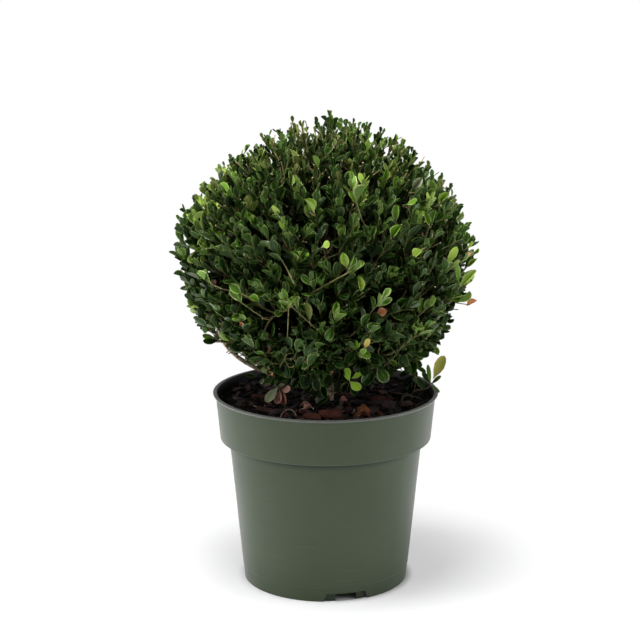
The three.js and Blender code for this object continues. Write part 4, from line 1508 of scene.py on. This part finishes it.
# Where each leaf stands on its twig and how it is turned. Rows of twigs, columns of leaves from the tip.
def leafPlacing(paths, perTwig, random, sizeFactor):
    count, steps, _ = paths.shape
    lengths = np.linalg.norm(np.diff(paths, axis=1), axis=2).sum(axis=1)
    rows = np.arange(count)[:, None]
    order = np.arange(perTwig)[None] + 0 * rows
    habit = leafHabit
    back = habit["internode"] * (order + random.uniform(*habit["gapScatter"], order.shape))
    share = 1 - back / lengths[:, None]
    inner = np.clip(share, 0, 1) * (steps - 1)
    low = np.minimum(inner.astype(int), steps - 2)
    start, end = paths[rows, low], paths[rows, low + 1]
    base = mix(start, end, (inner - low)[..., None])
    axis = unit(end - start)
    sideOne = unit(np.cross(axis, upright))
    sideTwo = np.cross(axis, sideOne)
    firstTurn = random.random((count, 1)) * math.tau
    turn = firstTurn + order * goldenAngle + random.normal(0, habit["turnScatter"], order.shape)
    radial = sideOne * np.cos(turn)[..., None] + sideTwo * np.sin(turn)[..., None]
    spread = mix(*habit["spread"], np.clip(order / habit["spreadBy"], 0, 1))
    spread = np.radians(spread + random.normal(0, habit["spreadScatter"], order.shape))[..., None]
    lean = upright * habit["upwardLean"]
    along = unit(axis * np.cos(spread) + radial * np.sin(spread) + lean)
    outward = unit(base - crownCentre) * habit["outwardLean"]
    face = axis * np.sin(spread) - radial * np.cos(spread) + lean + outward
    size = np.interp(order, habit["orders"], habit["sizes"])
    size = size * random.uniform(*habit["sizeScatter"], order.shape)
    face = unit(face + random.normal(0, habit["faceScatter"], face.shape))
    widthScatter = random.uniform(*habit["widthScatter"], order.shape)
    return {
        "base": base, "along": along, "face": face, "share": share, "order": order,
        "length": leafShape["length"] * size * sizeFactor[:, None],
        "width": leafShape["width"] * size * sizeFactor[:, None] * widthScatter,
    }


# How far past the clipped outline a leaf may reach, by how high it is on the ball
outlineRoom = {"heights": (-0.9, -0.5, -0.2), "shares": (1.13, 1.05, 1.02)}


# Left out: leaves past the clipped outline or in the soil, on twigs too short for them, and those
# that would hide the slot of sky, a twig or leaf that shows, or the low left bough
def keptLeaves(placing):
    tip = placing["base"] + placing["along"] * placing["length"][..., None]
    fromCentre = tip - crownCentre
    far = np.linalg.norm(fromCentre, axis=-1)
    d = fromCentre / far[..., None]
    kept = far < reach(d) * np.interp(d[..., 2], outlineRoom["heights"], outlineRoom["shares"])
    middle = (placing["base"] + tip) / 2
    kept &= placing["share"] > leafHabit["leastShare"]
    kept &= tip[..., 2] > soilShape["top"] + leafRoom["soil"]
    kept &= distanceToLine(middle, *skyLine) > leafRoom["sky"]
    for start, end in shownTwigs:
        kept &= ~standsBefore(middle, start, mix(np.array(start), np.array(end), 0.7), leafRoom["twig"])
    for start, end in shownBough:
        kept &= ~standsBefore(middle, start, end, leafRoom["bough"])
    for row in crownShownLeaves:
        start, end = np.array(row[1:3]) / 1000
        if row[1][2] > clearedAbove:
            kept &= ~standsBefore(middle, start, end, leafRoom["leaf"])
    return kept & ~standsBefore(middle, *shownSprig, leafRoom["sprig"])


# The kinds of leaf, dealt out by spray. Each has its upper face, its underside and its edge, whose pale tint
# is partly the leaf's own and partly a painted edge highlight.
leafTints = {
    # Near black, darker than any leaf: painted shade for the leaves inside the ball, under it and on the soil
    # below it
    "deep": (((0.005, 0.012, 0.003), (0.010, 0.024, 0.005)), (0.012, 0.026, 0.007), (0.020, 0.038, 0.009)),
    "shade": (((0.006, 0.022, 0.003), (0.016, 0.050, 0.005)), (0.020, 0.050, 0.010), (0.170, 0.230, 0.070)),
    "mid": (((0.013, 0.044, 0.004), (0.036, 0.096, 0.008)), (0.042, 0.098, 0.015), (0.290, 0.370, 0.115)),
    "fresh": (((0.055, 0.140, 0.009), (0.115, 0.235, 0.018)), (0.110, 0.205, 0.030), (0.450, 0.520, 0.180)),
    "young": (((0.200, 0.320, 0.035), (0.320, 0.430, 0.080)), (0.290, 0.410, 0.095), (0.380, 0.480, 0.140)),
    "lime": (((0.270, 0.520, 0.025), (0.380, 0.620, 0.060)), (0.370, 0.580, 0.090), (0.560, 0.680, 0.300)),
    "turning": (((0.300, 0.340, 0.050), (0.420, 0.380, 0.090)), (0.380, 0.360, 0.130), (0.620, 0.240, 0.100)),
    "clipped": (((0.070, 0.112, 0.016), (0.145, 0.175, 0.034)), (0.130, 0.165, 0.040), (0.310, 0.310, 0.110)),
    "wilted": (((0.260, 0.110, 0.075), (0.460, 0.250, 0.190)), (0.360, 0.220, 0.170), (0.500, 0.330, 0.270)),
    "pale": (((0.190, 0.220, 0.120), (0.280, 0.310, 0.180)), (0.240, 0.265, 0.170), (0.380, 0.410, 0.270)),
    "rust": (((0.130, 0.042, 0.025), (0.280, 0.120, 0.080)), (0.220, 0.110, 0.080), (0.340, 0.190, 0.140)),
    "dead": (((0.420, 0.120, 0.045), (0.560, 0.270, 0.130)), (0.520, 0.300, 0.190), (0.680, 0.460, 0.330)),
}
formsOfKind = {
    "clipped": (0, 2, 3, 4, 4), "dead": (3, 5), "rust": (1, 3), "wilted": (1, 3), "pale": (0, 1, 3),
    "lime": (1,), "turning": (1,),
}
commonForms = (0, 1, 2, 3, 3, 6)
# How strongly some kinds glow: painted light standing in for the light that comes through these leaves
leafPaintedGlow = {"lime": 0.20, "turning": 0.12, "dead": 0.12}
# Each side's roughness and the width of its rib, how pale the rib is, how dull the underside may be
leafFinish = {"upper": (0.19, 0.05), "under": (0.3, 0.07), "ribShare": 0.6, "dullest": 0.7}


def leafMaterials(kind):
    upperTints, underTint, edge = leafTints[kind]
    rib = tuple(mix(np.array(upperTints[1]), np.array(edge), leafFinish["ribShare"]))
    glow = leafPaintedGlow.get(kind, 0.0)
    upper = leafMaterial(kind + "Leaf", upperTints, rib, edge, *leafFinish["upper"], glow)
    underTints = (tuple(leafFinish["dullest"] * tint for tint in underTint), underTint)
    under = leafMaterial(kind + "Underside", underTints, rib, edge, *leafFinish["under"], glow)
    return [upper, under]


materialsOfKind = {kind: leafMaterials(kind) for kind in leafTints}
leafKeys = ("base", "along", "face", "length", "width")
pieceLimit = 4700   # leaves in one piece, which keeps it under the limit of triangles


# Joins chosen leaves into pieces of one kind
def seatLeaves(kind, name, leaves, random, *nodes):
    slotName = "young_foliage" if kind == "young" else "foliage"
    forms = random.choice(formsOfKind.get(kind, commonForms), len(leaves["base"]))
    broad = np.array([form["broad"] for form in leafForms])[forms]
    turns = turnsFrom(leaves["along"], leaves["face"])
    sizes = np.stack([leaves["width"] * broad, leaves["length"], leaves["length"]], axis=-1)
    for part, start in enumerate(range(0, len(forms), pieceLimit)):
        shapes = []
        for i, model in enumerate(leafModels):
            pick = np.flatnonzero(forms == i)
            pick = pick[(pick >= start) & (pick < start + pieceLimit)]
            shapes.append(copiesOf(model, leaves["base"][pick], turns[pick], sizes[pick]))
        pieceName = name if len(forms) <= pieceLimit else f"{name}_{part + 1}"
        seatPiece(meshPiece(joinedShapes(shapes), 75), pieceName, materialsOfKind[kind], slotName, *nodes)
    print(name, len(forms), "leaves")


# Where the young yellow-green growth shows: heading, slope and width in degrees
youngPatches = [
    (-178, 33, 13), (-156, 24, 9), (-22, 2, 7), (-37, 9, 5), (-98, 32, 5), (20, 15, 9), (80, 35, 8),
    (120, 5, 9), (160, -15, 7),
]
# How many sprays are of each kind by how high they head: shade below a share, fresh above one, and
# clipped below one of a second draw. Darker sprays low on the ball and brighter ones on top are partly older
# and newer growth and partly painted shade and light from above.
sprayShares = {
    "shade": ((-0.8, -0.2, 0.6), (0.9, 0.5, 0.26)), "fresh": ((-0.6, 0, 0.8), (0.97, 0.84, 0.76)),
    "clipped": ((0.2, 0.6, 0.95), (0.0, 0.20, 0.42)), "young": 0.985, "youngInPatch": 0.4,
}
# The older leaves of a spray, past the first few, are duller. All the leaves on the twigs far inside the
# ball, and most on the low twigs under it, are of the near-black kind, painted shade; above a last share of a
# draw a leaf is dead.
olderShape = {"from": 4, "duller": 0.6, "lowDeepShade": 0.6, "dead": 0.9996}
# Leaves are smaller toward the ball's top, and a little larger inside
sizeByHeight = {"heights": (-0.8, -0.1, 0.5, 0.95), "sizes": (1.20, 1.0, 0.86, 0.70), "deep": 1.12}


# Each spray's kind: young in its patches, olive where the shears cut the top, dark low down, partly as
# painted shade
def sprayKinds(headings, random):
    kinds = np.full(len(headings), "mid", dtype=object)
    draw = random.random(len(headings))
    height = headings[:, 2]
    kinds[draw < np.interp(height, *sprayShares["shade"])] = "shade"
    kinds[draw > np.interp(height, *sprayShares["fresh"])] = "fresh"
    cutDraw = random.random(len(headings))
    kinds[cutDraw < np.interp(height, *sprayShares["clipped"])] = "clipped"
    kinds[cutDraw > sprayShares["young"]] = "young"
    for turn, lift, width in youngPatches:
        centre = headingSlope(math.radians(turn), math.radians(lift))
        near = headings @ centre > math.cos(math.radians(width))
        kinds[near & (random.random(len(headings)) < sprayShares["youngInPatch"])] = "young"
    return kinds


# Leaves of every kind of twig: their places, which kind each is, and which are kept
def dealLeaves(random):
    parts, kinds = [], []

    def take(placing, dealt):
        kept = keptLeaves(placing)
        parts.append({key: placing[key][kept] for key in leafKeys})
        kinds.append(dealt[kept])

    for twigKind, (twigs, headings) in fineTwigs.items():
        perTwig = leavesPerTwig[twigKind]
        sizes = np.interp(headings[:, 2], sizeByHeight["heights"], sizeByHeight["sizes"])
        placing = leafPlacing(pathsOf(twigs), perTwig, random, sizes * sizeByHeight.get(twigKind, 1))
        dealt = np.repeat(sprayKinds(headings, random)[:, None], perTwig, axis=1)
        older = placing["order"] >= olderShape["from"]
        duller = olderShape["duller"]
        dealt[older & (dealt == "fresh")] = "mid"
        dealt[older & (dealt == "young") & (random.random(dealt.shape) < duller)] = "fresh"
        dealt[older & (random.random(dealt.shape) < duller)] = "shade"
        if twigKind == "low":
            isDeepShade = random.random(dealt.shape) < olderShape["lowDeepShade"]
            dealt = np.where(isDeepShade, "deep", "shade").astype(object)
        if twigKind == "deep":
            dealt[:] = "deep"
        dealt[random.random(dealt.shape) > olderShape["dead"]] = "dead"
        take(placing, dealt)
    shown = pathsOf([rows for kind, rows in branches if kind == "shown"])
    placing = leafPlacing(shown, leavesPerTwig["shown"], random, np.ones(len(shown)))
    take(placing, np.full(placing["order"].shape, "fresh", dtype=object))
    return joinedRows(parts), np.concatenate(kinds)


def joinedRows(parts):
    return {key: np.concatenate([part[key] for part in parts]) for key in leafKeys}


leafRandom = np.random.default_rng(19)
crownLeaves, crownKinds = dealLeaves(leafRandom)
for kind in leafTints:
    chosen = crownKinds == kind
    if chosen.any():
        leaves = {key: crownLeaves[key][chosen] for key in leafKeys}
        seatLeaves(kind, kind + "Leaves", leaves, leafRandom, "crown")


# Shoots from the plant's foot, in millimetres over the soil. Each stem is its radii at the root and the
# tip, how many leaves it has by seed from its tip down, and its points. Then come the leaves that show
# one by one: kind, base, tip and width.

shoots = [
    {"name": "shoot_front", "bark": "shootBark", "stems": [
        ((2.0, 1.2), 0, [(6, -5, 0), (6, -5, 3), (6.5, -5, 12), (6, -5, 23)]),
        ((1.2, 0.7), 6, [(6, -5, 8), (-5, -16, 21), (-18, -27, 32)]),
        ((1.1, 0.7), 0, [(6, -5, 6), (13, -8, 10), (21, -16, 17), (24, -22, 24)]),
        ((0.8, 0.6), 0, [(6, -5, 9), (10, -18, 15), (15, -22, 19), (20, -22, 16)]),
    ], "shownLeaves": [
        ("lime", (24, -22, 24), (18, -22, 37), 10.0),
        ("lime", (25, -28, 28), (38, -31, 35), 7.0),
        ("lime", (24, -22, 24), (34, -30, 16), 9.0),
        ("mid", (23, -22, 24), (17, -26, 14), 6.5),
        ("shade", (24, -21, 18), (30, -25, 10), 8.0),
        ("shade", (-6, -17, 21), (-2, -23, 7), 9.0),
        ("deep", (-10, -21, 25), (-12, -27, 10), 9.0),
        ("shade", (-15, -25, 30), (-19, -30, 15), 9.0),
        ("mid", (-12, -22, 28), (-4, -28, 23), 8.0),
    ]},
    {"name": "shoot_right", "bark": "oldTwig", "stems": [
        ((1.2, 0.7), 0, [
            (76, -10, 0), (76, -10, 3), (82, -9, 8), (91, -8, 11), (101, -8, 13), (105, -8, 17)]),
        ((1.3, 0.9), 5, [(84, -9, 8), (88, -8, 13), (89, -8, 24), (86, -9, 34)]),
        ((0.9, 0.8), 0, [(88, -8, 12), (87, -10, 14), (86, -10, 19)]),
    ], "shownLeaves": [
        ("turning", (107, -8, 22), (119, -8, 47), 9.5),
        ("fresh", (105, -8, 17), (116, -8, 25), 4.5),
        ("fresh", (105, -8, 17), (103, -9, 37), 4.5),
        ("mid", (105, -8, 17), (115, -9, 10), 4.5),
        ("shade", (105, -7, 17), (98, -7, 30), 6.0),
        ("mid", (88, -8, 36), (100, -9, 29), 5.0),
        ("shade", (89, -8, 26), (98, -10, 14), 6.0),
        ("deep", (89, -8, 24), (84, -10, 8), 7.0),
        ("deep", (88, -8, 28), (78, -10, 14), 7.0),
        ("shade", (87, -9, 31), (74, -10, 26), 7.0),
    ]},
    {"name": "shoot_left", "bark": "oldTwig", "stems": [
        ((1.3, 0.8), 0, [
            (-40, -30, 0), (-40, -30, 3), (-41, -33, 12), (-46, -35, 20), (-56, -36, 29)]),
    ], "shownLeaves": [
        ("pale", (-47, -36, 22), (-58, -41, 7), 8.5),
        ("pale", (-49, -35, 21), (-40, -36, 24), 4.0),
        ("wilted", (-45, -37, 19), (-48, -42, 6), 7.0),
        ("rust", (-43, -36, 18), (-39, -42, 5), 8.0),
        ("wilted", (-44, -35, 18), (-34, -39, 20), 7.0),
        ("pale", (-60, -36, 32), (-64, -37, 25), 3.5),
        ("rust", (-60, -35, 29), (-51, -37, 25), 7.0),
        ("deep", (-56, -36, 29), (-67, -37, 34), 4.5),
        ("shade", (-67, -35, 31), (-79, -37, 32), 4.0),
        ("shade", (-55, -36, 30), (-48, -38, 36), 6.0),
    ]},
]
# Litter on the soil: bare twiglets as points over the soil, and fallen leaves
twiglets = [
    [(-29, -50, 1.0), (-19, -39, 1.8), (-7, -20, 1.6)],
    [(-18, -38, 1.8), (-14, -40, 2.2), (-12, -43, 1.6)],
    [(-44, -72, 0.5), (-41, -72, 6), (-36, -72, 9), (-31, -72, 7), (-28, -73, 1.0)],
    [(-39, -71, 0.5), (-37, -70, 4), (-34, -71, 1.0)],
    [(30, -70, 1.0), (38, -58, 2.6), (44, -50, 1.4)],
    [(-78, -22, 1.0), (-70, -34, 1.6), (-60, -40, 1.0)],
    [(70, 20, 1.0), (82, 6, 2.0), (92, -4, 1.2)],
]
fallenLeaves = [
    ("wilted", (-14, -46, 6), (-20, -56, 3), 8.0),
    ("rust", (-14, -42, 6), (-24, -50, 5), 6.0),
    ("shade", (4, -34, 13), (-8, -44, 4), 11.0),
    ("deep", (2, -24, 8), (-7, -36, 6), 8.0),
    ("rust", (22, -24, 5), (14, -32, 6), 7.0),
]


# How the leaves given one by one face, and by how much they stray from it
shownFace = {"way": (0, -0.75, 0.66), "scatter": 0.2}
shootShape = {"points": 14, "sides": 7, "leafSize": 0.8}
twigletShape = {"points": 12, "sides": 6, "radius": 0.0007}


# The leaves given one by one, facing the light and a little toward the front
def shownPlacing(rows, random):
    base, tip = (np.array([row[i] for row in rows]) / 1000 for i in (1, 2))
    face = unit(np.array(shownFace["way"]) + random.normal(0, shownFace["scatter"], base.shape))
    return {
        "base": base, "along": unit(tip - base), "face": face,
        "length": np.linalg.norm(tip - base, axis=1), "width": np.array([row[3] for row in rows]) / 1000,
    }


def seatShownLeaves(rows, name, lift, random, *nodes):
    for kind in sorted({row[0] for row in rows}):
        leaves = shownPlacing([row for row in rows if row[0] == kind], random)
        leaves["base"] = leaves["base"] + upright * lift
        seatLeaves(kind, f"{name}_{kind}", leaves, random, *nodes)


# A smooth path through points given in millimetres over the soil
def pathOverSoil(points, count):
    return smoothPath(overSoil(np.array(points) / 1000), count)


def makeShoots():
    random = np.random.default_rng(5)
    count, sides = shootShape["points"], shootShape["sides"]
    for shoot in shoots:
        stems, placings = [], []
        for radii, leafCount, points in shoot["stems"]:
            path = pathOverSoil(points, count)
            stems.append(tubes(path[None], np.linspace(*radii, count)[None] / 1000, sides))
            if leafCount:
                placing = leafPlacing(path[None], leafCount, random, np.array([shootShape["leafSize"]]))
                placings.append({key: placing[key][0] for key in leafKeys})
        name = shoot["name"]
        finish = twigFinish(shoot["bark"])
        seatPiece(meshPiece(joinedShapes(stems)), name + "_stems", finish, "bark", name)
        if placings:
            seatLeaves("shade", name + "_leaves", joinedRows(placings), random, name)
        seatShownLeaves(shoot["shownLeaves"], name + "_shown", soilSurface, random, name)
    seatShownLeaves(crownShownLeaves, "crown_shown", 0, random, "crown")
    seatShownLeaves(fallenLeaves, "fallen", soilSurface, random)


def makeTwiglets():
    paths = np.array([pathOverSoil(points, twigletShape["points"]) for points in twiglets])
    litter = tubes(paths, np.full(paths.shape[:2], twigletShape["radius"]), twigletShape["sides"])
    seatPiece(meshPiece(litter), "twiglets", twigFinish("shootBark"), "bark")


makeShoots()
makeTwiglets()
print("shoots and litter made")


# Studio: a pale floor, a soft light above and two low at the sides, and the photograph's view

studio = {
    "cameraPlace": (-0.0056, -1.7357, 0.6591), "lens": 100.56, "sensor": 36.0,
    "floorSize": 40.0, "floorTint": (0.86, 0.86, 0.87), "floorDrift": 0.99, "floorGlow": (0.12, 0.50),
    "leastPaintedGlow": 0.4, "underPot": (0.084, 0.090), "aim": (0, 0, 0.28),
}
# How bright the white surroundings are from above, from the left, the right, the back and the front,
# and where along an axis those that fade in begin and are full
surroundings = {"above": 0.30, "left": 0.72, "right": 0.62, "back": 0.35, "front": 0.05}
surroundingSides = [("X", -0.3, -0.8, "left"), ("X", 0.3, 0.8, "right"), ("Z", 0.3, 0.9, "above")]
softLights = [
    {"name": "overhead", "place": (-0.14, -0.22, 1.55), "size": (0.65, 0.65), "power": 37.0},
    {"name": "leftPanel", "place": (-1.3, -0.35, 0.52), "size": (0.5, 0.5), "power": 7.5},
    {"name": "rightPanel", "place": (1.3, -0.35, 0.52), "size": (0.5, 0.5), "power": 6.0},
]


# The paper floor is white where the picture's edge is, so that it meets the white surroundings. Nearer the
# pot it still glows partly white for the camera, a painted light that lifts the shadows round the pot.
def makeFloor():
    deselectAll()
    bpy.ops.mesh.primitive_plane_add(size=studio["floorSize"])
    floor = bpy.context.object
    floor.name = "studioFloor"
    material, tree, shader, coords = newMaterial("floorPaper", Roughness=0.7, Specular_IOR_Level=0.2)
    tint = studio["floorTint"]
    duller = tuple(studio["floorDrift"] * part for part in tint)
    drift = placeDrift(tree, coords["Object"], 3.0, tint, duller)
    tree.links.new(drift["Colour"], shader.inputs["Base Color"])
    far = lengthOf(tree, coords["Object"])
    near, past = studio["floorGlow"]
    # Painted light: a share of white glow near the pot lifts the floor's shadows for the camera
    white = addNode(tree, "ShaderNodeMapRange", {0: far, 1: near, 2: past, 3: studio["leastPaintedGlow"]}).outputs[0]
    seen = addNode(tree, "ShaderNodeLightPath").outputs["Is Camera Ray"]
    glow = addNode(tree, "ShaderNodeEmission", {"Color": (1, 1, 1, 1), "Strength": 1.0})
    pastFoot = rangeMask(tree, far, *studio["underPot"])
    share = times(tree, times(tree, white, seen), pastFoot)
    mixed = addNode(tree, "ShaderNodeMixShader", {0: share, 1: shader.outputs[0], 2: glow.outputs[0]})
    tree.links.new(mixed.outputs[0], tree.nodes["Material Output"].inputs["Surface"])
    floor.data.materials.append(material)


# The world's light by direction. The camera itself sees plain white.
def makeWorld():
    world = bpy.data.worlds.new("studio")
    world.use_nodes = True
    tree = world.node_tree
    background = tree.nodes["Background"]
    background.inputs["Color"].default_value = (1, 1, 1, 1)
    parts = partsOf(tree, addNode(tree, "ShaderNodeTexCoord").outputs["Generated"])
    backward = rangeMask(tree, parts["Y"], -0.5, 0.5)
    strength = mixNumbers(tree, backward, surroundings["front"], surroundings["back"])
    for axis, low, high, level in surroundingSides:
        mask = rangeMask(tree, parts[axis], low, high)
        strength = mixNumbers(tree, mask, strength, surroundings[level])
    seen = addNode(tree, "ShaderNodeLightPath").outputs["Is Camera Ray"]
    tree.links.new(mixNumbers(tree, seen, strength, 1.0), background.inputs["Strength"])
    bpy.context.scene.world = world


def placeObject(name, data, place, turn):
    obj = bpy.data.objects.new(name, data)
    obj.location = place
    obj.rotation_euler = turn
    bpy.context.scene.collection.objects.link(obj)
    return obj


def makeStudio():
    makeFloor()
    makeWorld()
    for spec in softLights:
        light = bpy.data.lights.new(spec["name"], "AREA")
        light.shape = "RECTANGLE"
        light.size, light.size_y = spec["size"]
        light.energy = spec["power"]
        aim = Vector(studio["aim"]) - Vector(spec["place"])
        placeObject(spec["name"], light, spec["place"], aim.to_track_quat("-Z", "Y").to_euler())
    bpy.context.scene.view_settings.view_transform = "Standard"
    camera = bpy.data.cameras.new("photoCamera")
    camera.lens = studio["lens"]
    camera.sensor_width = studio["sensor"]
    camera.clip_end = 100
    turn = (math.pi / 2 - studioTilt, 0, 0)
    bpy.context.scene.camera = placeObject("photoCamera", camera, studio["cameraPlace"], turn)


makeStudio()
print("studio made")
